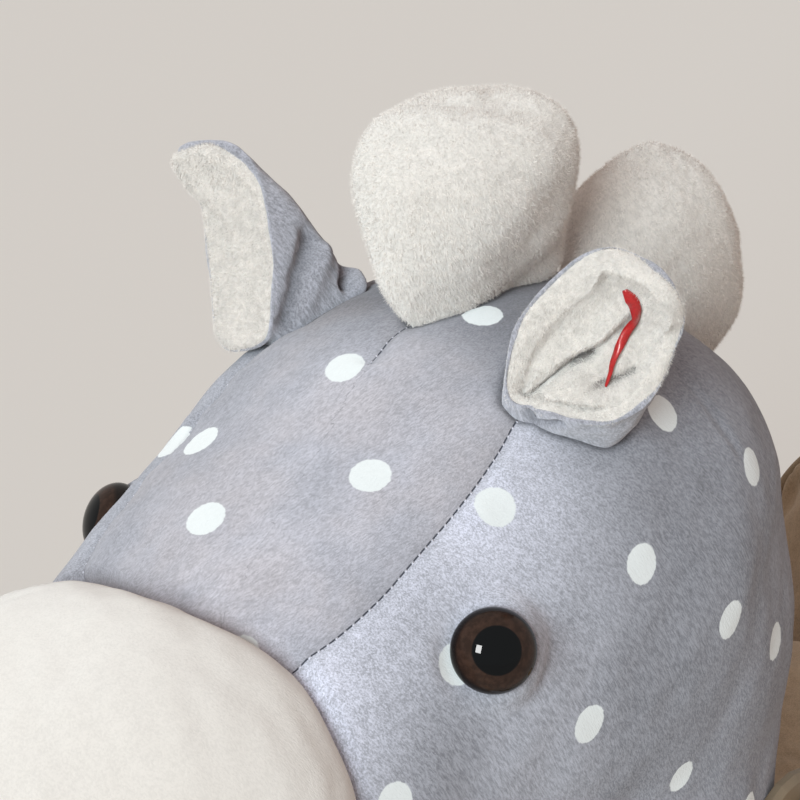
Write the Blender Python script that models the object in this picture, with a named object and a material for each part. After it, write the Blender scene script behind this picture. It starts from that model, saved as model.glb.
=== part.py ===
"""Plush rocking horse on wooden rockers.

Metres, +Z up, standing on the floor at Z = 0. The horse faces -Y, and +X is its left side.
A wooden frame (rockers, planks, posts, seat, neck and back boards) carries stuffed plush
pieces. The handle bar turns in a sleeve through the neck board.
"""
import math

import bmesh
import bpy
from mathutils import Matrix, Vector

# Fits
GAP = 0.0003                 # between pieces that touch
TURN_GAP = 0.0004            # between the handle bar and its sleeve, all round

# Facets round a form
BODY_SIDES = 24
LIMB_SIDES = 16
ROUND_SIDES = 20

# Rockers
ROCKER_LENGTH = 0.660
ROCKER_THICKNESS = 0.020
ROCKER_SPACING = 0.224       # between the middles of the two boards
ROCKER_RADIUS = 0.720        # underside of the board
ROCKER_TIP_DEPTH = 0.032
ROCKER_ARC_CENTRE_Y = -0.010 # the lowest point lies under the centre of mass
REST_FLAT = 0.030            # short straight stretch in the middle of the underside
ROCKER_EDGE_ROUND = 0.0035
LAND_HEIGHT = 0.066          # level seats for the planks, above the floor
WAIST_DIP = 0.013            # between the footrest and the rear plank
NOTCH_DIP = 0.005            # between the front plank and the footrest
STRIP_THICKNESS = 0.003
STRIP_WIDTH = 0.014
STRIP_END_INSET = 0.040      # from the tip of the board, along Y

# Planks across the rockers
PLANK_THICKNESS = 0.018
PLANK_DEPTH = 0.092
PLANK_OVERHANG = 0.008       # past the outer face of each rocker
PLANK_CORNER = 0.012
FRONT_PLANK_Y = -0.152
REAR_PLANK_Y = 0.176
FOOTREST_Y = -0.040
FOOTREST_DEPTH = 0.056
FOOTREST_HALF_WIDTH = 0.146
FOOTREST_CORNER = 0.024

# Leg posts, from the planks up to the seat board
POST_WIDTH = 0.022
POST_DEPTH = 0.034
POST_FOOT_X = 0.088
POST_HEAD_X = 0.056
FRONT_POST_HEAD_Y = -0.092
REAR_POST_HEAD_Y = 0.172
POST_HEIGHT = 0.116

# Boards inside the body
SEAT_THICKNESS = 0.015
SEAT_HALF_WIDTH = 0.076
SEAT_FRONT_Y = -0.118
SEAT_REAR_Y = 0.216
SEAT_CORNER = 0.030
NECK_BOARD_THICKNESS = 0.018
NECK_BOARD_HEIGHT = 0.196
NECK_BOARD_BASE = 0.116
NECK_BOARD_TOP = 0.062
CLEAT_SIZE = 0.018
CLEAT_LENGTH = 0.084
BACK_BOARD_THICKNESS = 0.012
BACK_BOARD_HALF_WIDTH = 0.070
BACK_BOARD_HEIGHT = 0.132
BACK_BOARD_CORNER = 0.045
BACK_BOARD_Y = 0.202
BACK_LEAN = math.radians(7.0)
BACK_CLEAT_LENGTH = 0.110

# Handle
HANDLE_BEFORE_NECK_REAR = 0.039
HANDLE_RISE = 0.102          # above the top of the seat board
BAR_RADIUS = 0.011
SLEEVE_WALL = 0.0022
COLLAR_RADIUS = 0.023
COLLAR_THICKNESS = 0.004
COLLAR_X = 0.066             # inner face of each collar
GRIP_RADIUS = 0.0155
GRIP_LENGTH = 0.072
GRIP_END_WALL = 0.004        # between the end of the bar and the outer face
GRIP_GROOVE = 0.0012
GRIP_GROOVES = 3
END_SCREW_RADIUS = 0.0065
END_SCREW_HEAD = 0.003
END_SCREW_SHANK = 0.0028
END_SCREW_LENGTH = 0.022

# Screws
SCREW_HEAD_RADIUS = 0.0055
SCREW_HEAD_HEIGHT = 0.0022
SCREW_SHANK_RADIUS = 0.0024
SCREW_BITE = 0.024           # length of shank in the second board

# Torso
TORSO_LENGTH = 0.404
TORSO_WIDTH = 0.184
TORSO_DEPTH = 0.132
TORSO_FRONT_Y = -0.160
TORSO_UNDER_BOARD = 0.046    # belly below the underside of the seat board

# Neck
NECK_WIDTH = 0.144
NECK_LENGTH = 0.180
NECK_BEFORE_HEAD_REAR = 0.002

# Head and muzzle
HEAD_LENGTH = 0.280
HEAD_WIDTH = 0.166
HEAD_DEPTH = 0.178
HEAD_FRONT_Y = -0.239
HEAD_SQUARENESS = 2.3        # 2 is an ellipse across the head
HEAD_RISE = 0.118            # lowest point of the head above the top of the seat board
MUZZLE_LENGTH = 0.106
MUZZLE_WIDTH = 0.156
MUZZLE_DEPTH = 0.138
MUZZLE_OVERLAP = 0.035       # how far the muzzle reaches back over the head
MUZZLE_DROP = 0.007          # its lowest point below the head's lowest point

# Eyes
EYE_RADIUS = 0.012
EYE_DOME = 0.0075
EYE_RIM = 0.0012
EYE_SHANK_RADIUS = 0.003
EYE_SHANK_LENGTH = 0.016
EYE_BEHIND_FRONT = 0.077     # from the front of the head
EYE_ABOVE_HEAD_BASE = 0.113
EYE_PROUD = 0.0045           # middle of the eye outside the skin of the head
EYE_TURN = math.radians(57)  # outward from straight ahead
EYE_TILT = math.radians(10)  # upward
WASHER_RADIUS = 0.009
WASHER_THICKNESS = 0.0016
WASHER_DEPTH = 0.008         # from the back of the eye

# Ears
EAR_LENGTH = 0.065
EAR_SKIN = 0.0022
EAR_LINING = 0.0016
EAR_BASE_X = 0.046
EAR_BEHIND_FRONT = 0.136     # from the front of the head
EAR_SINK = 0.003             # of its root into the skin of the head
EAR_OUTWARD = math.radians(43.7)
EAR_FORWARD = math.radians(4.4)
EAR_OPENING_TURN = math.radians(13.8)
LABEL_WIDTH = 0.009
LABEL_LEAN = math.radians(35)
LABEL_THICKNESS = 0.0008

# Mane and tail
FORELOCK_HEIGHT = 0.069
FORELOCK_LENGTH = 0.078
FORELOCK_WIDTH = 0.056
FORELOCK_BEHIND_FRONT = 0.117 # from the front of the head
CREST_HEIGHT = 0.078
CREST_LENGTH = 0.070
CREST_WIDTH = 0.042
CREST_PAST_HEAD = 0.013      # its rear behind the head's rear
CREST_ROOT_INSET = 0.020     # place of its root, from the head's rear
NAPE_HEIGHT = 0.078
NAPE_LENGTH = 0.040
NAPE_WIDTH = 0.030
NAPE_BELOW_CREST = 0.040     # from the root of the crest
NAPE_INSET = 0.026           # of its front edge, from the head's rear
TUFT_SINK = 0.004            # of each root into the head
TAIL_LENGTH = 0.120
TAIL_WIDTH = 0.044
TAIL_SWEEP = 0.042           # how far it swings out behind the rump
TAIL_SINK = 0.006            # of its root into the rump

# Legs and hooves
LEG_THIGH_RADIUS = 0.036
LEG_ANKLE_RADIUS = 0.029
LEG_TOP_SHARE = 0.72         # of the thigh, where the leg ends inside the torso
LEG_INTO_TORSO = 0.044       # height of the leg's top above the belly line
HOOF_HEIGHT = 0.043
HOOF_WIDTH = 0.072
HOOF_DEPTH = 0.082

# Saddle and back cushion
SADDLE_FRONT_Y = 0.054
SADDLE_REAR_Y = 0.184
SADDLE_PAD = 0.020           # thickness on top
SADDLE_SKIRT = 0.007         # thickness at the hem
SADDLE_REACH = math.radians(103)
SADDLE_EDGE_SHARE = 0.30     # of its thickness left at the hem
SADDLE_ROLL_SHARE = 0.25     # of its thickness left at the front and rear
BACK_CUSHION_HALF_WIDTH = 0.092
BACK_CUSHION_HEIGHT = 0.150
BACK_CUSHION_THICKNESS = 0.048
BACK_CUSHION_CORNER = 0.058

# Levels and places that follow from the sizes above
STRIP_TOP = STRIP_THICKNESS
ROCKER_BOTTOM = STRIP_TOP + GAP
PLANK_BOTTOM = LAND_HEIGHT + GAP
PLANK_TOP = PLANK_BOTTOM + PLANK_THICKNESS
POST_BOTTOM = PLANK_TOP + GAP
POST_TOP = POST_BOTTOM + POST_HEIGHT
SEAT_BOTTOM = POST_TOP + GAP
SEAT_TOP = SEAT_BOTTOM + SEAT_THICKNESS
BOARD_FOOT = SEAT_TOP + GAP
TORSO_BOTTOM = SEAT_BOTTOM - TORSO_UNDER_BOARD
TORSO_TOP = TORSO_BOTTOM + TORSO_DEPTH
HEAD_BASE = SEAT_TOP + HEAD_RISE
HEAD_REAR_Y = HEAD_FRONT_Y + HEAD_LENGTH
NECK_REAR_Y = HEAD_REAR_Y - NECK_BEFORE_HEAD_REAR
NECK_CENTRE_Y = NECK_REAR_Y - NECK_LENGTH / 2
HANDLE_Y = NECK_REAR_Y - HANDLE_BEFORE_NECK_REAR
HANDLE_Z = SEAT_TOP + HANDLE_RISE
ROCKER_X = ROCKER_SPACING / 2
PLANK_HALF_WIDTH = ROCKER_X + ROCKER_THICKNESS / 2 + PLANK_OVERHANG
GRIP_START = COLLAR_X + COLLAR_THICKNESS + GAP
GRIP_END = GRIP_START + GRIP_LENGTH
BAR_HALF_LENGTH = GRIP_END - GRIP_END_WALL - GAP
SLEEVE_BORE = BAR_RADIUS + TURN_GAP
SLEEVE_RADIUS = SLEEVE_BORE + SLEEVE_WALL
NECK_BOARD_Y = HANDLE_Y - NECK_BOARD_BASE * 0.28

# Shares of length, half width, top and bottom along the torso, front to back
TORSO_SHARES = (
    (0.00, 0.18, 0.66, 0.42),
    (0.03, 0.52, 0.90, 0.24),
    (0.11, 0.82, 1.03, 0.10),
    (0.26, 0.96, 0.98, 0.03),
    (0.45, 0.98, 0.88, 0.00),
    (0.65, 1.00, 0.87, 0.00),
    (0.82, 1.00, 0.92, 0.06),
    (0.92, 0.88, 0.88, 0.16),
    (0.98, 0.56, 0.76, 0.32),
    (1.00, 0.20, 0.64, 0.46),
)

# Shares of length, half width, top and bottom along the head, front to back
HEAD_SHARES = (
    (0.00, 0.34, 0.52, 0.27),
    (0.03, 0.63, 0.61, 0.14),
    (0.10, 0.80, 0.70, 0.07),
    (0.275, 0.89, 0.86, 0.03),
    (0.455, 0.985, 0.99, 0.00),
    (0.625, 1.00, 1.00, 0.01),
    (0.77, 0.94, 0.93, 0.04),
    (0.90, 0.72, 0.76, 0.13),
    (0.97, 0.40, 0.60, 0.26),
    (1.00, 0.14, 0.48, 0.38),
)

# Shares of length, half width, top and bottom along the muzzle, front to back
MUZZLE_SHARES = (
    (0.00, 0.15, 0.52, 0.36),
    (0.09, 0.57, 0.74, 0.14),
    (0.34, 0.92, 0.92, 0.01),
    (0.58, 1.00, 0.99, 0.00),
    (0.79, 0.97, 1.00, 0.06),
    (0.93, 0.88, 0.96, 0.14),
    (1.00, 0.78, 0.88, 0.22),
)

# Height share, centre shift along Y (share of length), half width and half length up the neck
NECK_SHARES = (
    (0.00, -0.01, 1.06, 0.99),
    (0.25, -0.01, 1.04, 1.01),
    (0.50, 0.00, 1.00, 1.00),
    (0.80, 0.01, 0.97, 0.98),
    (1.00, 0.02, 0.90, 0.90),
)

# Shares of height, half width, front and rear along the length of each tuft, from the root up
FORELOCK_SHARES = (
    (0.00, 0.07, 0.17, 0.97),
    (0.07, 0.22, 0.10, 1.02),
    (0.15, 0.42, 0.04, 1.05),
    (0.35, 0.76, 0.00, 1.02),
    (0.58, 0.97, 0.00, 0.98),
    (0.77, 1.00, 0.03, 0.96),
    (0.90, 0.84, 0.11, 0.90),
    (0.97, 0.55, 0.24, 0.77),
    (1.00, 0.20, 0.40, 0.60),
)
CREST_SHARES = (
    (0.00, 0.30, 0.40, 0.80),
    (0.15, 0.66, 0.30, 0.94),
    (0.32, 0.90, 0.12, 0.99),
    (0.50, 1.00, 0.02, 0.97),
    (0.68, 0.95, 0.00, 0.88),
    (0.84, 0.76, 0.05, 0.75),
    (0.95, 0.45, 0.15, 0.60),
    (1.00, 0.18, 0.27, 0.48),
)
NAPE_SHARES = (
    (0.00, 0.20, 0.20, 0.70),
    (0.10, 0.60, 0.08, 0.90),
    (0.35, 0.95, 0.00, 1.00),
    (0.65, 1.00, 0.00, 1.00),
    (0.88, 0.80, 0.05, 0.92),
    (1.00, 0.25, 0.25, 0.70),
)

# The left ear's rim and foot, as loops in shares of the ear's length: along the ear, outward
# and forward from the middle of its root, starting where both lips meet in front
EAR_RIM_SHARES = (
    (0.05, -0.09, 0.25), (0.17, -0.23, 0.21), (0.35, -0.33, 0.13), (0.62, -0.35, 0.00),
    (0.83, -0.29, -0.04), (0.95, -0.15, -0.02), (1.00, 0.02, 0.00), (0.91, 0.14, -0.03),
    (0.74, 0.22, -0.04), (0.52, 0.31, 0.04), (0.33, 0.28, 0.16), (0.18, 0.10, 0.24),
)
EAR_FOOT_SHARES = (
    (-0.12, -0.11, 0.22), (-0.14, -0.18, 0.09), (-0.12, -0.20, -0.06), (-0.09, -0.18, -0.17),
    (-0.07, -0.09, -0.25), (-0.07, 0.02, -0.28), (-0.07, 0.14, -0.28), (-0.08, 0.26, -0.25),
    (-0.08, 0.38, -0.15), (-0.08, 0.37, 0.00), (-0.08, 0.22, 0.10), (-0.10, 0.06, 0.18),
)
EAR_BULGE_SHARE = 0.06
LABEL_COLUMN = 13            # of the ear's grid
LABEL_ROWS = (1, 2, 3)

COLOURS = {
    "wood": ((0.62, 0.44, 0.26), 0.45, 0.0),
    "plywood": ((0.66, 0.52, 0.36), 0.60, 0.0),
    "rubber": ((0.05, 0.05, 0.05), 0.80, 0.0),
    "grey_plush": ((0.55, 0.55, 0.60), 0.90, 0.0),
    "cream_plush": ((0.82, 0.79, 0.74), 0.92, 0.0),
    "taupe_plush": ((0.28, 0.22, 0.17), 0.92, 0.0),
    "eye": ((0.03, 0.018, 0.014), 0.06, 0.0),
    "plastic": ((0.75, 0.73, 0.70), 0.40, 0.0),
    "steel": ((0.60, 0.60, 0.60), 0.30, 1.0),
    "red_cloth": ((0.62, 0.03, 0.03), 0.40, 0.0),
}


def clear_scene():
    """Remove whatever the file holds, so that the model stands alone."""
    for obj in list(bpy.data.objects):
        bpy.data.objects.remove(obj, do_unlink=True)


def material(name):
    """The Principled material of one of the named colours."""
    if name in bpy.data.materials:
        return bpy.data.materials[name]
    colour, roughness, metallic = COLOURS[name]
    mat = bpy.data.materials.new(name)
    mat.use_nodes = True
    shader = mat.node_tree.nodes["Principled BSDF"]
    shader.inputs["Base Color"].default_value = (*colour, 1.0)
    shader.inputs["Roughness"].default_value = roughness
    shader.inputs["Metallic"].default_value = metallic
    return mat


def add_object(name, bm, finish, smooth_angle=35.0):
    """Make a named object from a bmesh, with its faces turned outward."""
    bmesh.ops.recalc_face_normals(bm, faces=bm.faces)
    if bm.calc_volume(signed=True) < 0.0:
        bmesh.ops.reverse_faces(bm, faces=bm.faces)
    mesh = bpy.data.meshes.new(name)
    bm.to_mesh(mesh)
    bm.free()
    mesh.materials.append(material(finish))
    mesh.shade_smooth()
    mesh.set_sharp_from_angle(angle=math.radians(smooth_angle))
    obj = bpy.data.objects.new(name, mesh)
    bpy.context.scene.collection.objects.link(obj)
    return obj


def as_cutter(obj):
    """Hide an object that only cuts others."""
    obj.hide_render = True
    obj.display_type = "WIRE"
    return obj


def cut(target, *cutters):
    """Subtract each cutter from the target."""
    for cutter in cutters:
        modifier = target.modifiers.new("cut_" + cutter.name, "BOOLEAN")
        modifier.operation = "DIFFERENCE"
        modifier.solver = "EXACT"
        modifier.object = cutter


def round_edges(obj, width, segments=2):
    """Round the sharp edges of a board."""
    modifier = obj.modifiers.new("rounded_edges", "BEVEL")
    modifier.width = width
    modifier.segments = segments
    modifier.limit_method = "ANGLE"
    modifier.angle_limit = math.radians(50)


def smooth_value(stations, column, x):
    """Read a column of a profile at x, on a smooth curve through its stations."""
    last = len(stations) - 1
    index = 0
    while index < last - 1 and x > stations[index + 1][0]:
        index += 1

    def slope(i):
        low = max(i - 1, 0)
        high = min(i + 1, last)
        rise = stations[high][column] - stations[low][column]
        return rise / (stations[high][0] - stations[low][0])

    x0, x1 = stations[index][0], stations[index + 1][0]
    y0, y1 = stations[index][column], stations[index + 1][column]
    step = x1 - x0
    t = min(max((x - x0) / step, 0.0), 1.0)
    bend0 = t * (1 - t) ** 2 * step * slope(index)
    bend1 = t * t * (t - 1) * step * slope(index + 1)
    blend = t * t * (3 - 2 * t)
    return y0 + (y1 - y0) * blend + bend0 + bend1


def oval(count, exponent=2.0):
    """Unit points of a superellipse, anticlockwise from +X."""
    points = []
    for k in range(count):
        angle = 2 * math.pi * k / count
        c, s = math.cos(angle), math.sin(angle)
        x = math.copysign(abs(c) ** (2 / exponent), c)
        y = math.copysign(abs(s) ** (2 / exponent), s)
        points.append((x, y))
    return points


def skin_rings(name, rings, finish, smooth_angle=60.0):
    """Close a row of equal rings into one solid, with a flat face at each end.

    Every four points are split along the same diagonal, so that a form and its
    slightly larger cutter have the same facets.
    """
    bm = bmesh.new()
    loops = [[bm.verts.new(point) for point in ring] for ring in rings]
    count = len(loops[0])
    for low, high in zip(loops, loops[1:]):
        for k in range(count):
            after = (k + 1) % count
            bm.faces.new((low[k], low[after], high[after]))
            bm.faces.new((low[k], high[after], high[k]))
    bm.faces.new(loops[0])
    bm.faces.new(loops[-1])
    return add_object(name, bm, finish, smooth_angle)


def even_shares(count):
    """Shares from 0 to 1, closer together near both ends."""
    return [(1 - math.cos(math.pi * k / count)) / 2 for k in range(count + 1)]


def lengthwise_rings(profile, front_y, base_z, size, count, exponent, grow=0.0):
    """Rings across Y of a swelling form: size is its width, length and depth."""
    width, length, depth = size
    rings = []
    for share in even_shares(count):
        half_width = smooth_value(profile, 1, share) * width / 2 + grow
        top = base_z + smooth_value(profile, 2, share) * depth + grow
        bottom = base_z + smooth_value(profile, 3, share) * depth - grow
        y = front_y + share * length + grow * (2 * share - 1)
        middle = (top + bottom) / 2
        half_depth = (top - bottom) / 2
        ring = [Vector((half_width * u, y, middle + half_depth * v))
                for u, v in oval(BODY_SIDES, exponent)]
        rings.append(ring)
    return rings


def torso_rings(grow=0.0):
    """The barrel of the body, around the seat board."""
    size = (TORSO_WIDTH, TORSO_LENGTH, TORSO_DEPTH)
    return lengthwise_rings(TORSO_SHARES, TORSO_FRONT_Y, TORSO_BOTTOM, size, 12, 2.4, grow)


def head_rings(grow=0.0):
    """The head from inside the muzzle back to the nape."""
    size = (HEAD_WIDTH, HEAD_LENGTH, HEAD_DEPTH)
    return lengthwise_rings(HEAD_SHARES, HEAD_FRONT_Y, HEAD_BASE, size, 14, HEAD_SQUARENESS, grow)


def head_section(y):
    """Half width, top and bottom of the head at y."""
    share = (y - HEAD_FRONT_Y) / HEAD_LENGTH
    half_width = smooth_value(HEAD_SHARES, 1, share) * HEAD_WIDTH / 2
    top = HEAD_BASE + smooth_value(HEAD_SHARES, 2, share) * HEAD_DEPTH
    bottom = HEAD_BASE + smooth_value(HEAD_SHARES, 3, share) * HEAD_DEPTH
    return half_width, top, bottom


def head_half_width(y, z):
    """Half width of the head's skin at y and height z."""
    half_width, top, bottom = head_section(y)
    rise = abs(2 * z - top - bottom) / (top - bottom)
    return half_width * (1 - rise ** HEAD_SQUARENESS) ** (1 / HEAD_SQUARENESS)


def head_height(x, y):
    """Height of the head's skin above x and y."""
    half_width, top, bottom = head_section(y)
    lift = (1 - (abs(x) / half_width) ** HEAD_SQUARENESS) ** (1 / HEAD_SQUARENESS)
    return (top + bottom + (top - bottom) * lift) / 2


def muzzle_rings():
    """The muzzle, which overlaps the front of the head."""
    front = HEAD_FRONT_Y + MUZZLE_OVERLAP - MUZZLE_LENGTH
    size = (MUZZLE_WIDTH, MUZZLE_LENGTH, MUZZLE_DEPTH)
    return lengthwise_rings(MUZZLE_SHARES, front, HEAD_BASE - MUZZLE_DROP, size, 9, 2.1)


def neck_rings(grow=0.0):
    """The neck, from inside the torso up into the head."""
    low = SEAT_TOP + (TORSO_TOP - SEAT_TOP) * 0.25
    high = HEAD_BASE + HEAD_DEPTH * 0.5
    rings = []
    count = 7
    for k in range(count + 1):
        share = k / count
        z = low + (high - low) * share
        y = NECK_CENTRE_Y + smooth_value(NECK_SHARES, 1, share) * NECK_LENGTH
        half_width = smooth_value(NECK_SHARES, 2, share) * NECK_WIDTH / 2 + grow
        half_length = smooth_value(NECK_SHARES, 3, share) * NECK_LENGTH / 2 + grow
        rings.append([Vector((half_width * u, y + half_length * v, z))
                      for u, v in oval(BODY_SIDES, 2.1)])
    return rings


def turned(name, profile, axis, origin, finish, sides=ROUND_SIDES, smooth_angle=40.0):
    """Turn a profile of (distance along the axis, radius) points, starting and ending on it."""
    turn = Vector((0, 0, 1)).rotation_difference(Vector(axis)).to_matrix()
    bm = bmesh.new()
    rings = []
    for along, radius in profile:
        if radius <= 0.0:
            rings.append([bm.verts.new(Vector(origin) + turn @ Vector((0, 0, along)))])
            continue
        ring = []
        for k in range(sides):
            angle = 2 * math.pi * k / sides
            local = Vector((radius * math.cos(angle), radius * math.sin(angle), along))
            ring.append(bm.verts.new(Vector(origin) + turn @ local))
        rings.append(ring)
    for low, high in zip(rings, rings[1:]):
        for k in range(sides):
            after = (k + 1) % sides
            if len(low) == 1:
                bm.faces.new((low[0], high[k], high[after]))
            elif len(high) == 1:
                bm.faces.new((low[k], low[after], high[0]))
            else:
                bm.faces.new((low[k], low[after], high[after], high[k]))
    return add_object(name, bm, finish, smooth_angle)


def tube(name, outer, inner, start, end, y, z, finish, sides=ROUND_SIDES):
    """A plain tube along X."""
    bm = bmesh.new()
    loops = []
    for x, radius in ((start, outer), (end, outer), (end, inner), (start, inner)):
        loops.append([bm.verts.new((x, y + radius * math.cos(2 * math.pi * k / sides),
                                    z + radius * math.sin(2 * math.pi * k / sides)))
                      for k in range(sides)])
    for i, low in enumerate(loops):
        high = loops[(i + 1) % 4]
        for k in range(sides):
            after = (k + 1) % sides
            bm.faces.new((low[k], low[after], high[after], high[k]))
    return add_object(name, bm, finish)


def prism(name, outline, direction, finish, edge=0.0, smooth_angle=35.0):
    """Extrude a flat closed outline, given as 3-D points, along a direction."""
    bm = bmesh.new()
    face = bm.faces.new([bm.verts.new(point) for point in outline])
    extruded = bmesh.ops.extrude_face_region(bm, geom=[face])
    moved = [item for item in extruded["geom"] if isinstance(item, bmesh.types.BMVert)]
    bmesh.ops.translate(bm, verts=moved, vec=Vector(direction))
    obj = add_object(name, bm, finish, smooth_angle)
    if edge:
        round_edges(obj, edge)
    return obj


def rounded_rectangle(half_x, half_y, corner, steps=4):
    """Corner-rounded rectangle around the origin, anticlockwise."""
    points = []
    for quarter in range(4):
        sign_x = 1 if quarter in (0, 3) else -1
        sign_y = 1 if quarter in (0, 1) else -1
        for k in range(steps + 1):
            angle = math.pi / 2 * (quarter + k / steps)
            x = sign_x * (half_x - corner) + corner * math.cos(angle)
            y = sign_y * (half_y - corner) + corner * math.sin(angle)
            points.append((x, y))
    return points


def lowest_edge_height(y):
    """Height of the rocker board's underside at y: an arc with a flat middle."""
    off = max(abs(y - ROCKER_ARC_CENTRE_Y) - REST_FLAT / 2, 0.0)
    return ROCKER_BOTTOM + ROCKER_RADIUS - math.sqrt(ROCKER_RADIUS ** 2 - off ** 2)


def lower_edge(front, rear, lift, steps=13):
    """Points of the underside from front to rear, lifted square off the floor side."""
    points = []
    centre_z = ROCKER_BOTTOM + ROCKER_RADIUS
    radius = ROCKER_RADIUS - lift
    for end, side in ((front, -1), (rear, 1)):
        start_y = ROCKER_ARC_CENTRE_Y + side * REST_FLAT / 2
        sweep = math.asin(abs(end - start_y) / ROCKER_RADIUS)
        arc = [(start_y + side * radius * math.sin(sweep * k / steps),
                centre_z - radius * math.cos(sweep * k / steps)) for k in range(steps + 1)]
        if side < 0:
            arc.reverse()
        points.extend(arc)
    return points


def rocker_tip(side):
    """Half-round end of a rocker board, from its underside to its top."""
    radius = ROCKER_TIP_DEPTH / 2
    slope = 0.0
    for _ in range(8):
        end_y = side * (ROCKER_LENGTH / 2 - radius * (1 - math.sin(slope)))
        off = abs(end_y - ROCKER_ARC_CENTRE_Y) - REST_FLAT / 2
        slope = math.asin(off / ROCKER_RADIUS)
    low = Vector((end_y, lowest_edge_height(end_y)))
    inward = Vector((-side * math.sin(slope), math.cos(slope)))
    along = Vector((side * math.cos(slope), math.sin(slope)))
    centre = low + inward * radius
    steps = 6
    points = []
    for k in range(steps + 1):
        angle = math.pi * k / steps
        points.append(centre - inward * radius * math.cos(angle) + along * radius * math.sin(angle))
    return points


def dip_between(start, end, depth, steps):
    """Top edge that sinks between two level seats."""
    points = []
    for k in range(1, steps):
        share = k / steps
        y = start + (end - start) * share
        points.append((y, LAND_HEIGHT - depth * math.sin(math.pi * share) ** 1.3))
    return points


def sweep_up(land_end, tip_top, steps=5):
    """Top edge from a level seat out to the upturned tip."""
    points = []
    for k in range(1, steps):
        share = k / steps
        y = land_end + (tip_top[0] - land_end) * share
        points.append((y, LAND_HEIGHT + (tip_top[1] - LAND_HEIGHT) * share ** 1.6))
    return points


def rocker_outline():
    """The side view of a rocker board, as (y, z) points."""
    rear_tip = rocker_tip(1)
    front_tip = rocker_tip(-1)
    land = 0.002
    front_start = FRONT_PLANK_Y - PLANK_DEPTH / 2 - land
    front_end = FRONT_PLANK_Y + PLANK_DEPTH / 2 + land
    foot_start = FOOTREST_Y - FOOTREST_DEPTH / 2 - land
    foot_end = FOOTREST_Y + FOOTREST_DEPTH / 2 + land
    rear_start = REAR_PLANK_Y - PLANK_DEPTH / 2 - land
    rear_end = REAR_PLANK_Y + PLANK_DEPTH / 2 + land
    points = lower_edge(front_tip[0][0], rear_tip[0][0], 0.0)
    points += [tuple(p) for p in rear_tip[1:]]
    points += reversed(sweep_up(rear_end, rear_tip[-1]))
    points += [(rear_end, LAND_HEIGHT), (rear_start, LAND_HEIGHT)]
    points += dip_between(rear_start, foot_end, WAIST_DIP, 9)
    points += [(foot_end, LAND_HEIGHT), (foot_start, LAND_HEIGHT)]
    points += dip_between(foot_start, front_end, NOTCH_DIP, 4)
    points += [(front_end, LAND_HEIGHT), (front_start, LAND_HEIGHT)]
    points += sweep_up(front_start, front_tip[-1])
    points += [tuple(p) for p in reversed(front_tip[1:])]
    return points


def make_rockers():
    """Two rocker boards and the anti-slip strips under them."""
    for side, label in ((1, "left"), (-1, "right")):
        inner = side * ROCKER_X - ROCKER_THICKNESS / 2
        outline = [Vector((inner, y, z)) for y, z in rocker_outline()]
        prism("rocker_" + label, outline, (ROCKER_THICKNESS, 0, 0), "wood", ROCKER_EDGE_ROUND)
        half = ROCKER_LENGTH / 2 - STRIP_END_INSET
        upper = lower_edge(-half, half, -GAP)
        lower = lower_edge(-half, half, -GAP - STRIP_THICKNESS)
        start = side * ROCKER_X - STRIP_WIDTH / 2
        outline = [Vector((start, y, z)) for y, z in lower]
        outline += [Vector((start, y, z)) for y, z in reversed(upper)]
        prism("grip_strip_" + label, outline, (STRIP_WIDTH, 0, 0), "rubber")


def make_planks():
    """Front and rear planks that join the rockers, and the footrest between them."""
    rows = (
        ("front_plank", FRONT_PLANK_Y, PLANK_HALF_WIDTH, PLANK_DEPTH, PLANK_CORNER),
        ("rear_plank", REAR_PLANK_Y, PLANK_HALF_WIDTH, PLANK_DEPTH, PLANK_CORNER),
        ("footrest_plank", FOOTREST_Y, FOOTREST_HALF_WIDTH, FOOTREST_DEPTH, FOOTREST_CORNER),
    )
    for name, y, half_width, depth, corner in rows:
        outline = [Vector((px, y + py, PLANK_BOTTOM))
                   for px, py in rounded_rectangle(half_width, depth / 2, corner)]
        prism(name, outline, (0, 0, PLANK_THICKNESS), "wood", 0.002)


def post_corners(side, foot_y, head_y, grow=0.0):
    """The two level rectangles that a splayed leg post runs between."""
    half_x = POST_WIDTH / 2 + grow
    half_y = POST_DEPTH / 2 + grow
    ends = ((side * POST_FOOT_X, foot_y, POST_BOTTOM), (side * POST_HEAD_X, head_y, POST_TOP))
    corners = ((1, 1), (-1, 1), (-1, -1), (1, -1))
    return [[Vector((x + half_x * u, y + half_y * v, z)) for u, v in corners] for x, y, z in ends]


def make_posts():
    """Four splayed posts from the planks to the seat board, and cutters a little larger."""
    cutters = {}
    for side, label in ((1, "left"), (-1, "right")):
        for foot_y, head_y, end in ((FRONT_PLANK_Y, FRONT_POST_HEAD_Y, "front"),
                                    (REAR_PLANK_Y, REAR_POST_HEAD_Y, "rear")):
            name = end + "_leg_post_" + label
            post = skin_rings(name, post_corners(side, foot_y, head_y), "plywood", 30)
            round_edges(post, 0.002, 1)
            low, high = post_corners(side, foot_y, head_y, GAP)
            stretch = (high[0] - low[0]) * 0.02
            rings = [[p - stretch for p in low], [p + stretch for p in high]]
            cutter = skin_rings("hole_for_" + name, rings, "plywood")
            cutters[(side, end)] = as_cutter(cutter)
    return cutters


def flat_board(name, outline, direction, finish, edge=0.0015):
    """A board and a cutter that clears it all round."""
    board = prism(name, outline, direction, finish, edge)
    centre = sum(outline, Vector()) / len(outline)
    normal = Vector(direction).normalized()
    spread = []
    for point in outline:
        arm = point - centre
        spread.append(point + arm.normalized() * GAP * 1.6 - normal * GAP)
    cutter = prism("room_for_" + name, spread, Vector(direction) + 2 * GAP * normal, finish)
    return board, as_cutter(cutter)


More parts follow.
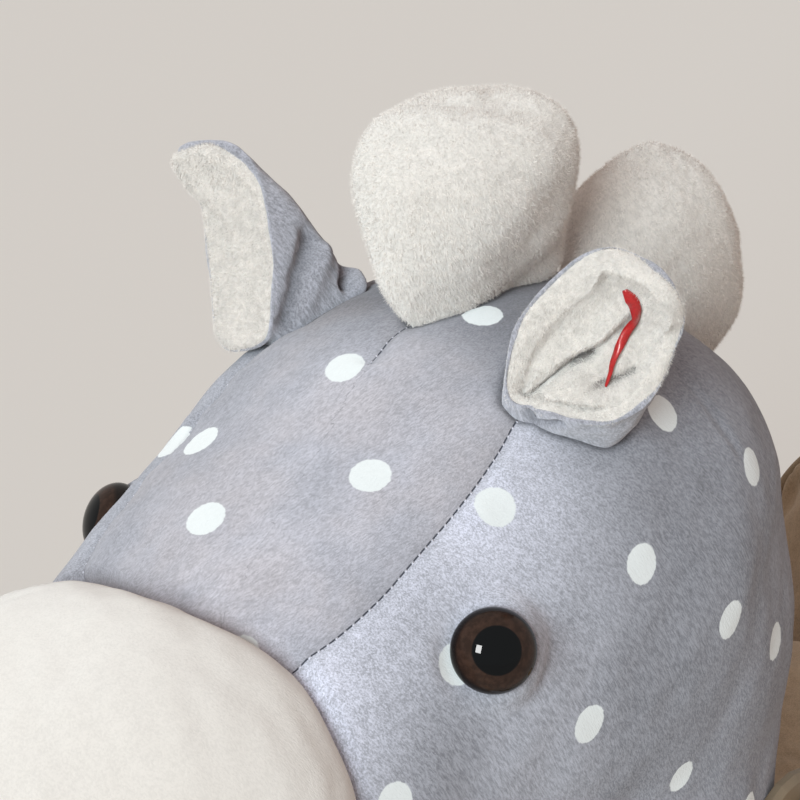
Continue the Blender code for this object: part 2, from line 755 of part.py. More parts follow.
def make_seat_board():
    """The plywood board inside the torso."""
    half_length = (SEAT_REAR_Y - SEAT_FRONT_Y) / 2
    middle = (SEAT_REAR_Y + SEAT_FRONT_Y) / 2
    outline = [Vector((px, middle + py, SEAT_BOTTOM))
               for px, py in rounded_rectangle(SEAT_HALF_WIDTH, half_length, SEAT_CORNER)]
    return flat_board("seat_board", outline, (0, 0, SEAT_THICKNESS), "plywood")[1]


def neck_board_outline():
    """Side view of the neck board: broad foot, round top, leaning forward."""
    half_base = NECK_BOARD_BASE / 2
    half_top = NECK_BOARD_TOP / 2
    top_z = BOARD_FOOT + NECK_BOARD_HEIGHT - half_top
    top_y = NECK_CENTRE_Y
    points = [(NECK_BOARD_Y - half_base, BOARD_FOOT), (NECK_BOARD_Y + half_base, BOARD_FOOT)]
    points.append((HANDLE_Y + SLEEVE_RADIUS * 1.9, HANDLE_Z + SLEEVE_RADIUS * 0.8))
    steps = 8
    for k in range(steps + 1):
        angle = math.pi * k / steps
        points.append((top_y + half_top * math.cos(angle), top_z + half_top * math.sin(angle)))
    points.append((NECK_BOARD_Y - half_base, HANDLE_Z - SLEEVE_RADIUS))
    return points


def make_neck_board():
    """Upright board that carries the handle and the head, with its cleats."""
    start = -NECK_BOARD_THICKNESS / 2
    outline = [Vector((start, y, z)) for y, z in neck_board_outline()]
    board, room = flat_board("neck_board", outline, (NECK_BOARD_THICKNESS, 0, 0), "plywood")
    bore = turned("bore_for_sleeve", rod_profile(0.1, SLEEVE_RADIUS + GAP), (1, 0, 0),
                  (-0.05, HANDLE_Y, HANDLE_Z), "plywood")
    cut(board, as_cutter(bore))
    rooms = [room]
    for side, label in ((1, "left"), (-1, "right")):
        inner = side * (NECK_BOARD_THICKNESS / 2 + GAP)
        outer = inner + side * CLEAT_SIZE
        corners = ((inner, 0.0), (outer, 0.0), (outer, CLEAT_SIZE * 0.5),
                   (inner + side * CLEAT_SIZE * 0.5, CLEAT_SIZE), (inner, CLEAT_SIZE))
        outline = [Vector((x, NECK_BOARD_Y - CLEAT_LENGTH / 2, BOARD_FOOT + z)) for x, z in corners]
        rooms.append(flat_board("neck_cleat_" + label, outline, (0, CLEAT_LENGTH, 0), "plywood")[1])
    return rooms


def back_frame():
    """Turn and place of the leaning back board: foot of its front face."""
    return Matrix.Translation((0, BACK_BOARD_Y, BOARD_FOOT)) @ Matrix.Rotation(-BACK_LEAN, 4, "X")


def make_back_board():
    """Leaning back board and the cleat that holds it on the seat board."""
    frame = back_frame()
    half = BACK_BOARD_HALF_WIDTH
    lift = BACK_BOARD_THICKNESS * math.sin(BACK_LEAN)
    points = [(-half, lift), (half, lift)]
    steps = 5
    for side in (1, -1):
        for k in range(steps + 1):
            share = k / steps if side > 0 else 1 - k / steps
            angle = math.pi / 2 * share
            x = side * (half - BACK_BOARD_CORNER + BACK_BOARD_CORNER * math.cos(angle))
            z = BACK_BOARD_HEIGHT - BACK_BOARD_CORNER * (1 - math.sin(angle))
            points.append((x, z))
    outline = [frame @ Vector((x, 0, z)) for x, z in points]
    direction = frame.to_3x3() @ Vector((0, BACK_BOARD_THICKNESS, 0))
    rooms = [flat_board("back_board", outline, direction, "plywood")[1]]
    half = BACK_CLEAT_LENGTH / 2
    drop = CLEAT_SIZE * math.tan(BACK_LEAN)
    face = BACK_BOARD_Y - GAP
    corners = ((face, 0.0), (face + drop, CLEAT_SIZE), (face - CLEAT_SIZE * 0.5, CLEAT_SIZE),
               (face - CLEAT_SIZE, CLEAT_SIZE * 0.5), (face - CLEAT_SIZE, 0.0))
    outline = [Vector((-half, y, BOARD_FOOT + z)) for y, z in corners]
    rooms.append(flat_board("back_cleat", outline, (2 * half, 0, 0), "plywood")[1])
    return rooms


def rod_profile(length, radius, chamfer=0.0):
    """A plain round bar, chamfered at both ends where asked."""
    if chamfer <= 0.0:
        return [(0, 0), (0, radius), (length, radius), (length, 0)]
    return [(0, 0), (0, radius - chamfer), (chamfer, radius),
            (length - chamfer, radius), (length, radius - chamfer), (length, 0)]


def grip_profile():
    """A turned wooden grip: barrel with finger grooves and a domed outer end, on its bore."""
    bore = BAR_RADIUS + GAP
    points = [(0.0, bore), (0.0, GRIP_RADIUS * 0.92), (0.002, GRIP_RADIUS)]
    body = GRIP_LENGTH - 0.012
    steps = GRIP_GROOVES * 4
    for k in range(1, steps + 1):
        share = k / steps
        wave = (1 - math.cos(2 * math.pi * GRIP_GROOVES * share)) / 2
        points.append((0.002 + (body - 0.002) * share, GRIP_RADIUS - GRIP_GROOVE * wave))
    for k in range(1, 5):
        angle = math.pi / 2 * k / 5
        points.append((body + 0.012 * math.sin(angle), GRIP_RADIUS * math.cos(angle) ** 0.6))
    return points


def make_handle():
    """Sleeve and collars in the neck, and the bar, grips and end screws that turn in them."""
    origin = Vector((0, HANDLE_Y, HANDLE_Z))
    half_sleeve = COLLAR_X - GAP
    tube("handle_sleeve", SLEEVE_RADIUS, SLEEVE_BORE, -half_sleeve, half_sleeve,
         HANDLE_Y, HANDLE_Z, "plastic")
    rooms = []
    profile = rod_profile(2 * (half_sleeve + GAP), SLEEVE_RADIUS + GAP)
    room = turned("room_for_sleeve", profile, (1, 0, 0), origin - Vector((COLLAR_X, 0, 0)), "plastic")
    rooms.append(as_cutter(room))
    hub = bpy.data.objects.new("handle_axis", None)
    hub.location = origin
    bpy.context.scene.collection.objects.link(hub)
    for side, label in ((1, "left"), (-1, "right")):
        direction = Vector((side, 0, 0))
        face = origin + direction * COLLAR_X
        collar = turned("handle_collar_" + label,
                        [(0, 0), (0, COLLAR_RADIUS), (COLLAR_THICKNESS * 0.6, COLLAR_RADIUS),
                         (COLLAR_THICKNESS, COLLAR_RADIUS * 0.9), (COLLAR_THICKNESS, 0)],
                        direction, face, "plastic")
        hole = turned("hole_in_collar_" + label, rod_profile(0.02, SLEEVE_BORE), direction,
                      face - direction * 0.01, "plastic")
        cut(collar, as_cutter(hole))
        bed = turned("bed_for_collar_" + label, rod_profile(0.03, COLLAR_RADIUS + GAP), direction,
                     face - direction * GAP, "plastic")
        rooms.append(as_cutter(bed))
        make_grip(side, label, origin + direction * GRIP_START, hub)
    bar = turned("handle_bar", rod_profile(2 * BAR_HALF_LENGTH, BAR_RADIUS, 0.001), (1, 0, 0),
                 (-BAR_HALF_LENGTH, 0, 0), "wood")
    pilots = [end_screw("pilot", side, GAP) for side in (1, -1)]
    cut(bar, *pilots)
    bar.parent = hub
    for pilot in pilots:
        pilot.parent = hub
    make_end_screws(hub)
    return rooms


def make_grip(side, label, start, hub):
    """One grip, pushed over the bar up to its collar."""
    profile = grip_profile()
    bore_end = GRIP_LENGTH - GRIP_END_WALL
    profile += [(GRIP_LENGTH, END_SCREW_RADIUS + GAP), (GRIP_LENGTH, END_SCREW_SHANK + GAP),
                (bore_end, END_SCREW_SHANK + GAP), (bore_end, BAR_RADIUS + GAP)]
    turn = Vector((0, 0, 1)).rotation_difference(Vector((side, 0, 0))).to_matrix()
    sides = LIMB_SIDES
    bm = bmesh.new()
    loops = []
    for along, radius in profile:
        ring = []
        for k in range(sides):
            angle = 2 * math.pi * k / sides
            local = Vector((radius * math.cos(angle), radius * math.sin(angle), along))
            ring.append(bm.verts.new(turn @ local + start - hub.location))
        loops.append(ring)
    for i, low in enumerate(loops):
        high = loops[(i + 1) % len(loops)]
        for k in range(sides):
            after = (k + 1) % sides
            bm.faces.new((low[k], low[after], high[after], high[k]))
    grip = add_object("grip_" + label, bm, "wood", 50)
    grip.parent = hub


def end_screw(name, side, grow):
    """The screw that closes one end of the handle bar, or room for it."""
    face = GRIP_END + GAP
    length = END_SCREW_LENGTH + grow
    profile = [(-length, 0), (-length, END_SCREW_SHANK + grow), (-grow, END_SCREW_SHANK + grow),
               (-grow, END_SCREW_RADIUS + grow), (END_SCREW_HEAD * 0.5, END_SCREW_RADIUS + grow),
               (END_SCREW_HEAD, END_SCREW_RADIUS * 0.6), (END_SCREW_HEAD, 0)]
    obj = turned(name + ("_left" if side > 0 else "_right"), profile, (side, 0, 0),
                 (side * face, 0, 0), "steel", 16)
    return as_cutter(obj) if grow else obj


def make_end_screws(hub):
    """The end screws of the handle, which turn with it."""
    for side in (1, -1):
        end_screw("grip_screw", side, 0.0).parent = hub


def screw_profile(shank, grow=0.0):
    """Pan-head screw pointing down from the surface at 0."""
    return [(-shank - grow, 0), (-shank - grow, SCREW_SHANK_RADIUS + grow),
            (-grow, SCREW_SHANK_RADIUS + grow), (-grow, SCREW_HEAD_RADIUS + grow),
            (SCREW_HEAD_HEIGHT * 0.5 + grow, SCREW_HEAD_RADIUS + grow),
            (SCREW_HEAD_HEIGHT + grow, SCREW_HEAD_RADIUS * 0.55), (SCREW_HEAD_HEIGHT + grow, 0)]


def make_screws():
    """One screw down through each plank into each rocker."""
    shank = PLANK_THICKNESS + SCREW_BITE
    screw_rooms = {}
    for plank, y in (("front_plank", FRONT_PLANK_Y), ("rear_plank", REAR_PLANK_Y),
                     ("footrest_plank", FOOTREST_Y)):
        for side, label in ((1, "left"), (-1, "right")):
            place = Vector((side * ROCKER_X, y, PLANK_TOP + GAP))
            name = "%s_screw_%s" % (plank, label)
            turned(name, screw_profile(shank), (0, 0, 1), place, "steel", 12)
            pilot = turned("pilot_for_" + name,
                           rod_profile(shank + 2 * GAP, SCREW_SHANK_RADIUS + GAP),
                           (0, 0, 1), place - Vector((0, 0, shank + GAP)), "steel", 12)
            as_cutter(pilot)
            cut(bpy.data.objects[plank], pilot)
            cut(bpy.data.objects["rocker_" + label], pilot)
            room = turned("room_for_" + name, screw_profile(shank, GAP), (0, 0, 1), place,
                          "steel", 12)
            screw_rooms[(side, plank.split("_")[0])] = as_cutter(room)
    return screw_rooms


def make_hooves_and_legs(post_holes, screw_rooms, torso_room):
    """Plush legs over the posts, standing on plush hooves that hide the plank screws."""
    hoof_bottom = PLANK_TOP + GAP
    hoof_top = hoof_bottom + HOOF_HEIGHT
    for side, label in ((1, "left"), (-1, "right")):
        for foot_y, head_y, end in ((FRONT_PLANK_Y, FRONT_POST_HEAD_Y, "front"),
                                    (REAR_PLANK_Y, REAR_POST_HEAD_Y, "rear")):
            foot = Vector((side * POST_FOOT_X, foot_y, POST_BOTTOM))
            lean = (Vector((side * POST_HEAD_X, head_y, POST_TOP)) - foot) / POST_HEIGHT
            rings = []
            for share, swell in ((0.0, 0.90), (0.10, 0.97), (0.35, 1.0), (0.65, 0.97),
                                 (0.9, 0.86), (1.0, 0.74)):
                z = hoof_bottom + HOOF_HEIGHT * share
                centre = foot + lean * (z - POST_BOTTOM) * 0.6
                rings.append([Vector((centre.x + u * swell * HOOF_WIDTH / 2,
                                      centre.y + v * swell * HOOF_DEPTH / 2, z))
                              for u, v in oval(LIMB_SIDES, 2.4)])
            hoof = skin_rings("%s_hoof_%s" % (end, label), rings, "cream_plush")
            cut(hoof, post_holes[(side, end)], screw_rooms[(side, end)])
            rings = []
            leg_bottom = hoof_top + GAP
            leg_top = TORSO_BOTTOM + LEG_INTO_TORSO
            for share, swell in ((0.0, 0.0), (0.3, 0.7), (0.6, 1.0), (0.8, 0.8), (1.0, -1.0)):
                z = leg_bottom + (leg_top - leg_bottom) * share
                centre = foot + lean * (z - POST_BOTTOM)
                radius = LEG_ANKLE_RADIUS + (LEG_THIGH_RADIUS - LEG_ANKLE_RADIUS) * swell
                radius = LEG_THIGH_RADIUS * LEG_TOP_SHARE if swell < 0.0 else radius
                rings.append([Vector((centre.x + u * radius * 0.92, centre.y + v * radius, z))
                              for u, v in oval(LIMB_SIDES, 2.1)])
            leg = skin_rings("%s_leg_%s" % (end, label), rings, "grey_plush")
            cut(leg, post_holes[(side, end)], torso_room)


def make_body(rooms, post_holes):
    """Torso, neck, head and muzzle, each cut by the larger ones."""
    torso = skin_rings("torso", torso_rings(), "grey_plush")
    cut(torso, *rooms["seat"], *post_holes.values(), *rooms["neck_board"], *rooms["back_board"])
    torso_room = as_cutter(skin_rings("room_for_torso", torso_rings(GAP), "grey_plush"))
    head = skin_rings("head", head_rings(), "grey_plush")
    cut(head, rooms["neck_board"][0])
    head_room = as_cutter(skin_rings("room_for_head", head_rings(GAP), "grey_plush"))
    neck = skin_rings("neck", neck_rings(), "grey_plush")
    cut(neck, torso_room, head_room, *rooms["neck_board"], *rooms["handle"])
    neck_room = as_cutter(skin_rings("room_for_neck", neck_rings(GAP), "grey_plush"))
    muzzle = skin_rings("muzzle", muzzle_rings(), "cream_plush")
    cut(muzzle, head_room)
    return head, torso_room, neck_room, head_room


def eye_profile(grow=0.0):
    """Half section of a safety eye: dome in front, shank behind."""
    points = [(-EYE_SHANK_LENGTH - grow, 0), (-EYE_SHANK_LENGTH - grow, EYE_SHANK_RADIUS + grow),
              (-grow, EYE_SHANK_RADIUS + grow), (-grow, EYE_RADIUS + grow),
              (EYE_RIM, EYE_RADIUS + grow)]
    steps = 5
    for k in range(1, steps):
        angle = math.pi / 2 * k / steps
        points.append((EYE_RIM + (EYE_DOME - EYE_RIM) * math.sin(angle) + grow,
                       EYE_RADIUS * math.cos(angle) + grow))
    points.append((EYE_DOME + grow, 0))
    return points


def make_eyes(head):
    """Domed eyes with their lock washers inside the head."""
    for side, label in ((1, "left"), (-1, "right")):
        out = Vector((side * math.sin(EYE_TURN) * math.cos(EYE_TILT),
                      -math.cos(EYE_TURN) * math.cos(EYE_TILT), math.sin(EYE_TILT)))
        y = HEAD_FRONT_Y + EYE_BEHIND_FRONT
        z = HEAD_BASE + EYE_ABOVE_HEAD_BASE
        place = Vector((side * (head_half_width(y, z) + EYE_PROUD), y, z))
        place -= out * EYE_RIM
        turned("eye_" + label, eye_profile(), out, place, "eye")
        socket = turned("socket_%s" % label, eye_profile(GAP), out, place, "eye")
        start = place - out * (WASHER_DEPTH + WASHER_THICKNESS)
        washer = turned("eye_washer_" + label, rod_profile(WASHER_THICKNESS, WASHER_RADIUS),
                        out, start, "plastic", LIMB_SIDES)
        hole = turned("washer_hole_" + label, rod_profile(0.01, EYE_SHANK_RADIUS + GAP), out,
                      start - out * 0.004, "plastic")
        cut(washer, as_cutter(hole))
        room = turned("room_for_washer_" + label,
                      rod_profile(WASHER_THICKNESS + 2 * GAP, WASHER_RADIUS + GAP), out,
                      start - out * GAP, "plastic", LIMB_SIDES)
        cut(head, as_cutter(socket), as_cutter(room))


def ear_frame(side):
    """Root of an ear, and its directions along, outward and forward."""
    y = HEAD_FRONT_Y + EAR_BEHIND_FRONT
    root = Vector((side * EAR_BASE_X, y, head_height(EAR_BASE_X, y) - EAR_SINK))
    flat = math.cos(EAR_FORWARD)
    along = Vector((math.sin(EAR_OUTWARD) * flat, -math.sin(EAR_FORWARD),
                    math.cos(EAR_OUTWARD) * flat))
    forward = Vector((math.sin(EAR_OPENING_TURN), -math.cos(EAR_OPENING_TURN), 0.0))
    forward = (forward - along * forward.dot(along)).normalized()
    outward = along.cross(forward)
    mirror = Matrix.Diagonal((side, 1.0, 1.0))
    return root, mirror @ along, mirror @ outward, mirror @ forward


def ear_point(side, shares):
    """A point of an ear from its shares of the length along, outward and forward."""
    root, along, outward, forward = ear_frame(side)
    return root + (along * shares[0] + outward * shares[1] + forward * shares[2]) * EAR_LENGTH


def loop_point(table, at):
    """A point on the smooth closed curve through the rows of a table, at a share of its round."""
    count = len(table)
    index = int(at * count)
    t = at * count - index
    p0, p1, p2, p3 = [Vector(table[(index + k) % count]) for k in (-1, 0, 1, 2)]
    return 0.5 * (2 * p1 + (p2 - p0) * t + (2 * p0 - 5 * p1 + 4 * p2 - p3) * t ** 2
                  + (3 * p1 - p0 - 3 * p2 + p3) * t ** 3)


def ear_grid(side, depth, columns=24, rows=5):
    """The ear as a grid from rim to foot, at a depth inside its outer surface."""
    grid = []
    for r in range(rows + 1):
        share = r / rows
        line = []
        for c in range(columns):
            rim = loop_point(EAR_RIM_SHARES, c / columns)
            foot = loop_point(EAR_FOOT_SHARES, c / columns)
            away = Vector((0.0, rim.y + foot.y, rim.z + foot.z)).normalized()
            swell = EAR_BULGE_SHARE * math.sin(math.pi * share)
            line.append(ear_point(side, rim.lerp(foot, share) + away * swell))
        grid.append(line)
    inner = []
    for r in range(rows + 1):
        line = []
        for c in range(columns):
            around = grid[r][(c + 1) % columns] - grid[r][c - 1]
            down = grid[min(r + 1, rows)][c] - grid[max(r - 1, 0)][c]
            line.append(grid[r][c] - side * around.cross(down).normalized() * depth)
        inner.append(line)
    return inner


def ear_layer(name, side, outer, inner, finish):
    """One closed layer of an ear, between two depths inside its outer surface."""
    bm = bmesh.new()
    layers = [[[bm.verts.new(p) for p in line] for line in ear_grid(side, depth)]
              for depth in (outer, inner)]
    low, high = layers
    rows = len(low) - 1
    columns = len(low[0])
    for c in range(columns):
        after = (c + 1) % columns
        for layer in layers:
            for r in range(rows):
                bm.faces.new((layer[r][c], layer[r][after], layer[r + 1][after], layer[r + 1][c]))
        for r in (0, rows):
            bm.faces.new((low[r][c], low[r][after], high[r][after], high[r][c]))
    bmesh.ops.triangulate(bm, faces=bm.faces)
    return add_object(name, bm, finish, 60)


def make_ears(head_room):
    """Cupped ears: grey skin outside and cream lining inside."""
    for side, label in ((1, "left"), (-1, "right")):
        skin = ear_layer("ear_" + label, side, 0.0, EAR_SKIN, "grey_plush")
        lining_start = EAR_SKIN + GAP
        lining = ear_layer("ear_lining_" + label, side, lining_start, lining_start + EAR_LINING,
                           "cream_plush")
        cut(skin, head_room)
        cut(lining, head_room)


def make_label():
    """The cloth label that stands off the lining inside the left ear."""
    depth = EAR_SKIN + EAR_LINING + 3 * GAP
    wall = ear_grid(1, depth)
    roots = [wall[r][LABEL_COLUMN] for r in LABEL_ROWS]
    outward, forward = ear_frame(1)[2:]
    free = (forward * math.cos(LABEL_LEAN) - outward * math.sin(LABEL_LEAN)) * LABEL_WIDTH
    along = roots[-1] - roots[0]
    thick = along.cross(free).normalized() * LABEL_THICKNESS
    rings = [[root, root + thick, root + thick + free, root + free] for root in roots]
    skin_rings("ear_label", rings, "red_cloth", 20)


def tuft(name, table, size, front_y, root_z, grow=0.0):
    """A stuffed tuft of mane on the midline: size is its width, length and height."""
    width, length, height = size
    rings = []
    steps = 9
    for share in even_shares(steps):
        half_width = smooth_value(table, 1, share) * width / 2 + grow
        front = front_y + smooth_value(table, 2, share) * length - grow
        rear = front_y + smooth_value(table, 3, share) * length + grow
        z = root_z + share * height + grow * (2 * share - 1)
        rings.append([Vector((half_width * u, (front + rear) / 2 + (rear - front) / 2 * v, z))
                      for u, v in oval(LIMB_SIDES, 2.1)])
    return skin_rings(name, rings, "cream_plush")


def make_mane(head_room, neck_room):
    """Forelock, crest and nape tufts along the middle of the head and neck."""
    front = HEAD_FRONT_Y + FORELOCK_BEHIND_FRONT
    root = head_height(0.0, front) - TUFT_SINK
    size = (FORELOCK_WIDTH, FORELOCK_LENGTH, FORELOCK_HEIGHT)
    forelock = tuft("forelock_tuft", FORELOCK_SHARES, size, front, root)
    cut(forelock, head_room)
    front = HEAD_REAR_Y + CREST_PAST_HEAD - CREST_LENGTH
    root = head_height(0.0, HEAD_REAR_Y - CREST_ROOT_INSET) - TUFT_SINK
    size = (CREST_WIDTH, CREST_LENGTH, CREST_HEIGHT)
    crest = tuft("crest_tuft", CREST_SHARES, size, front, root)
    cut(crest, head_room, neck_room)
    crest_room = as_cutter(tuft("room_for_crest", CREST_SHARES, size, front, root, GAP))
    size = (NAPE_WIDTH, NAPE_LENGTH, NAPE_HEIGHT)
    nape = tuft("nape_tuft", NAPE_SHARES, size, HEAD_REAR_Y - NAPE_INSET,
                root - NAPE_BELOW_CREST - NAPE_HEIGHT)
    cut(nape, head_room, neck_room, crest_room)


def make_tail(torso_room):
    """The tail, hanging from the rump."""
    root = Vector((0, TORSO_FRONT_Y + TORSO_LENGTH - TAIL_SINK, TORSO_BOTTOM + TORSO_DEPTH * 0.62))
    rings = []
    steps = 9
    for k in range(steps + 1):
        share = (1 - math.cos(math.pi * k / steps)) / 2
        swell = math.sin(math.pi * min(share * 0.92 + 0.04, 1.0)) ** 0.6
        centre = root + Vector((0, TAIL_SWEEP * math.sin(1.9 * share), -TAIL_LENGTH * share ** 1.4))
        rings.append([centre + Vector((u * TAIL_WIDTH / 2 * swell, 0.3 * v * TAIL_WIDTH * swell,
                                       0.25 * v * TAIL_WIDTH * swell * (1 - share)))
                      for u, v in oval(LIMB_SIDES, 2.0)])
    tail = skin_rings("tail", rings, "cream_plush")
    cut(tail, torso_room)


def saddle_point(y, angle, grow):
    """A point over the torso at y: angle from straight up, grown off its surface."""
    share = (y - TORSO_FRONT_Y) / TORSO_LENGTH
    half_width = smooth_value(TORSO_SHARES, 1, share) * TORSO_WIDTH / 2 + grow
    top = TORSO_BOTTOM + smooth_value(TORSO_SHARES, 2, share) * TORSO_DEPTH + grow
    bottom = TORSO_BOTTOM + smooth_value(TORSO_SHARES, 3, share) * TORSO_DEPTH - grow
    exponent = 2.4
    s, c = math.sin(angle), math.cos(angle)
    x = half_width * math.copysign(abs(s) ** (2 / exponent), s)
    z = (top + bottom) / 2 + (top - bottom) / 2 * math.copysign(abs(c) ** (2 / exponent), c)
    return Vector((x, y, z))


def make_saddle(torso_room):
    """Padded saddle over the back: crowned seat, thin skirts, rolled edges."""
    rings = []
    rows = 8
    columns = 12
    side_share = 1 - SADDLE_EDGE_SHARE
    end_share = 1 - SADDLE_ROLL_SHARE
    for r in range(rows + 1):
        share = (1 - math.cos(math.pi * r / rows)) / 2
        y = SADDLE_FRONT_Y + (SADDLE_REAR_Y - SADDLE_FRONT_Y) * share
        edge = max(math.sin(math.pi * share), 0.0) ** 0.35
        ring = []
        for c in range(columns + 1):
            lean = 2 * c / columns - 1
            pad = SADDLE_SKIRT + (SADDLE_PAD - SADDLE_SKIRT) * max(1 - lean ** 2, 0.0) ** 1.2
            roll = (1 - abs(lean) ** 8) ** 0.5
            share_left = (SADDLE_ROLL_SHARE + end_share * edge) * (SADDLE_EDGE_SHARE + side_share * roll)
            thickness = GAP * 3 + pad * share_left
            ring.append(saddle_point(y, SADDLE_REACH * lean, thickness))
        for c in range(columns, -1, -1):
            ring.append(saddle_point(y, SADDLE_REACH * (2 * c / columns - 1), -0.002))
        rings.append(ring)
    saddle = skin_rings("saddle", rings, "taupe_plush")
    cut(saddle, torso_room)


def make_back_cushion(rooms, torso_room):
    """Crowned cushion over the back board, with sides drawn in to a seam."""
    frame = back_frame()
    base = -0.010
    half_height = BACK_CUSHION_HEIGHT / 2
    steps = 4
    outline = []
    for quarter in range(4):
        sign_x = 1 if quarter in (0, 3) else -1
        sign_z = 1 if quarter in (0, 1) else -1
        corner = BACK_CUSHION_CORNER if sign_z > 0 else BACK_CUSHION_CORNER * 0.45
        for k in range(steps + 1):
            angle = math.pi / 2 * (quarter + k / steps)
            outline.append((sign_x * (BACK_CUSHION_HALF_WIDTH - corner) + corner * math.cos(angle),
                            sign_z * (half_height - corner) + corner * math.sin(angle)))
    rings = []
    levels = 5
    for k in range(-levels, levels + 1):
        angle = math.pi / 2 * k / levels
        scale = 0.10 + 0.90 * math.cos(angle) ** 0.7 if abs(k) < levels else 0.10
        depth = BACK_CUSHION_THICKNESS / 2 * math.sin(angle) + BACK_BOARD_THICKNESS / 2
        rings.append([frame @ Vector((x * scale, depth, base + half_height + z * scale))
                      for x, z in outline])
    cushion = skin_rings("back_cushion", rings, "taupe_plush")
    cut(cushion, torso_room, *rooms)


def main():
    clear_scene()
    make_rockers()
    make_planks()
    post_holes = make_posts()
    rooms = {"seat": [make_seat_board()]}
    rooms["neck_board"] = make_neck_board()
    rooms["back_board"] = make_back_board()
    rooms["handle"] = make_handle()
    screw_rooms = make_screws()
    head, torso_room, neck_room, head_room = make_body(rooms, post_holes)
    make_hooves_and_legs(post_holes, screw_rooms, torso_room)
    make_eyes(head)
    make_ears(head_room)
    make_label()
    make_mane(head_room, neck_room)
    make_tail(torso_room)
    make_saddle(torso_room)
    make_back_cushion(rooms["back_board"], torso_room)


main()
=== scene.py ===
# Looks of the plush rocking horse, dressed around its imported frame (metres, +Z up, faces -Y)
import math

import bpy
import numpy as np
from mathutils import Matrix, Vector
from mathutils.kdtree import KDTree


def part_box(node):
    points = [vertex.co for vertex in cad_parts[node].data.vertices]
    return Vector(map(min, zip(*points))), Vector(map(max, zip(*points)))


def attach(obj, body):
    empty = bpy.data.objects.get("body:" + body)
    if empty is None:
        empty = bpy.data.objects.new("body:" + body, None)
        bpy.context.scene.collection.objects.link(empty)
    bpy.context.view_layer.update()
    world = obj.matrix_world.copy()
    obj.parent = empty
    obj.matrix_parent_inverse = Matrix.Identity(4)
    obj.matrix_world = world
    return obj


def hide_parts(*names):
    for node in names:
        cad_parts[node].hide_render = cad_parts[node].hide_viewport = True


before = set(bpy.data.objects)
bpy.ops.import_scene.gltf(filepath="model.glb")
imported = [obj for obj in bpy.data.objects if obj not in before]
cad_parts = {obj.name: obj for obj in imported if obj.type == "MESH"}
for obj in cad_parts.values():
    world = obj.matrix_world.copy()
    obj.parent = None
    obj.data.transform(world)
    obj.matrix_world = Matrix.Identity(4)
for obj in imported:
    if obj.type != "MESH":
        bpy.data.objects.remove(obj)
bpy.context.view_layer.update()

MM = 0.001
SIDES = {"left": 1, "right": -1}

# Camera and picture
TARGET = (0.0, -0.114, 0.487)
CAMERA_AZIMUTH = math.radians(40.0)
CAMERA_ELEVATION = math.radians(22.0)
CAMERA_DISTANCE = 1.000
SENSOR_WIDTH = 36.0             # mm
FOCAL_PIXELS = 3440.0           # of a picture 800 pixels wide
PICTURE_WIDTH = 800.0

# Light
FLOOR_REACH = 9.0
SUN_TOWARDS = Vector((0.29, -0.89, 0.35))
SUN_STRENGTH = 2.42
SUN_SPREAD = math.radians(28)
SUN_COLOUR = (0.84, 0.97, 1.0)
ROOM_COLOUR = (1.0, 0.87, 0.80)
ROOM_STRENGTH = 0.50
SPARK_TOWARDS = Vector((0.174, -0.879, 0.444))  # of the small window seen in the eyes
SPARK_DISTANCE = 1.0
SPARK_SIZE = (0.21, 0.27)
SPARK_POWER = 9.0

# Colours, linear
GREY_PLUSH = (0.535, 0.530, 0.592)
GREY_PLUSH_WARM = (0.548, 0.522, 0.562)
GREY_PLUSH_SIDE = (0.690, 0.693, 0.780)
CREAM_PLUSH = (0.860, 0.820, 0.790)
TAUPE_PLUSH = (0.450, 0.345, 0.240)
DOT_WHITE = (0.860, 0.880, 0.890)
FOLD_PAINTED_SHADE = (0.130, 0.100, 0.090)       # painted shade far inside the ears' folds
THREAD_DARK = (0.085, 0.090, 0.115)
LABEL_RED = (0.600, 0.012, 0.014)
IRIS_BROWN = (0.040, 0.021, 0.015)
PUPIL_BLACK = (0.002, 0.003, 0.004)
RIM_BLACK = (0.012, 0.008, 0.007)
BEECH = (0.640, 0.440, 0.250), (0.480, 0.300, 0.150)      # pale and dark grain
PLYWOOD = (0.640, 0.500, 0.330), (0.520, 0.380, 0.230)
RUBBER_BLACK = (0.030, 0.030, 0.032)
PLASTIC_BROWN = (0.210, 0.160, 0.110)
PLASTIC_PALE = (0.640, 0.620, 0.590)
STEEL = (0.50, 0.51, 0.52), (0.66, 0.67, 0.68)              # in the turning marks and between
FLEECE_SHADE = (0.68, 0.62, 0.56)
BACKDROP = (0.678, 0.655, 0.625)
FLOOR_PAPER = (0.895, 0.880, 0.855)
FLOOR_BOUNCE = (0.360, 0.310, 0.250)    # of the same floor as a source of bounced light

# Shares of length, half width, top and bottom along the torso, head and muzzle, front to back
TORSO_SHARES = (
    (0.00, 0.18, 0.66, 0.42), (0.03, 0.52, 0.90, 0.24), (0.11, 0.82, 1.03, 0.10),
    (0.26, 0.96, 0.98, 0.03), (0.45, 0.98, 0.88, 0.00), (0.65, 1.00, 0.87, 0.00),
    (0.82, 1.00, 0.92, 0.06), (0.92, 0.88, 0.88, 0.16), (0.98, 0.56, 0.76, 0.32),
    (1.00, 0.20, 0.64, 0.46),
)
HEAD_SHARES = (
    (0.00, 0.34, 0.52, 0.27), (0.03, 0.63, 0.61, 0.14), (0.10, 0.80, 0.70, 0.07),
    (0.275, 0.89, 0.86, 0.03), (0.455, 0.985, 0.99, 0.00), (0.625, 1.00, 1.00, 0.01),
    (0.77, 0.94, 0.93, 0.04), (0.90, 0.72, 0.76, 0.13), (0.97, 0.40, 0.60, 0.26),
    (1.00, 0.14, 0.48, 0.38),
)
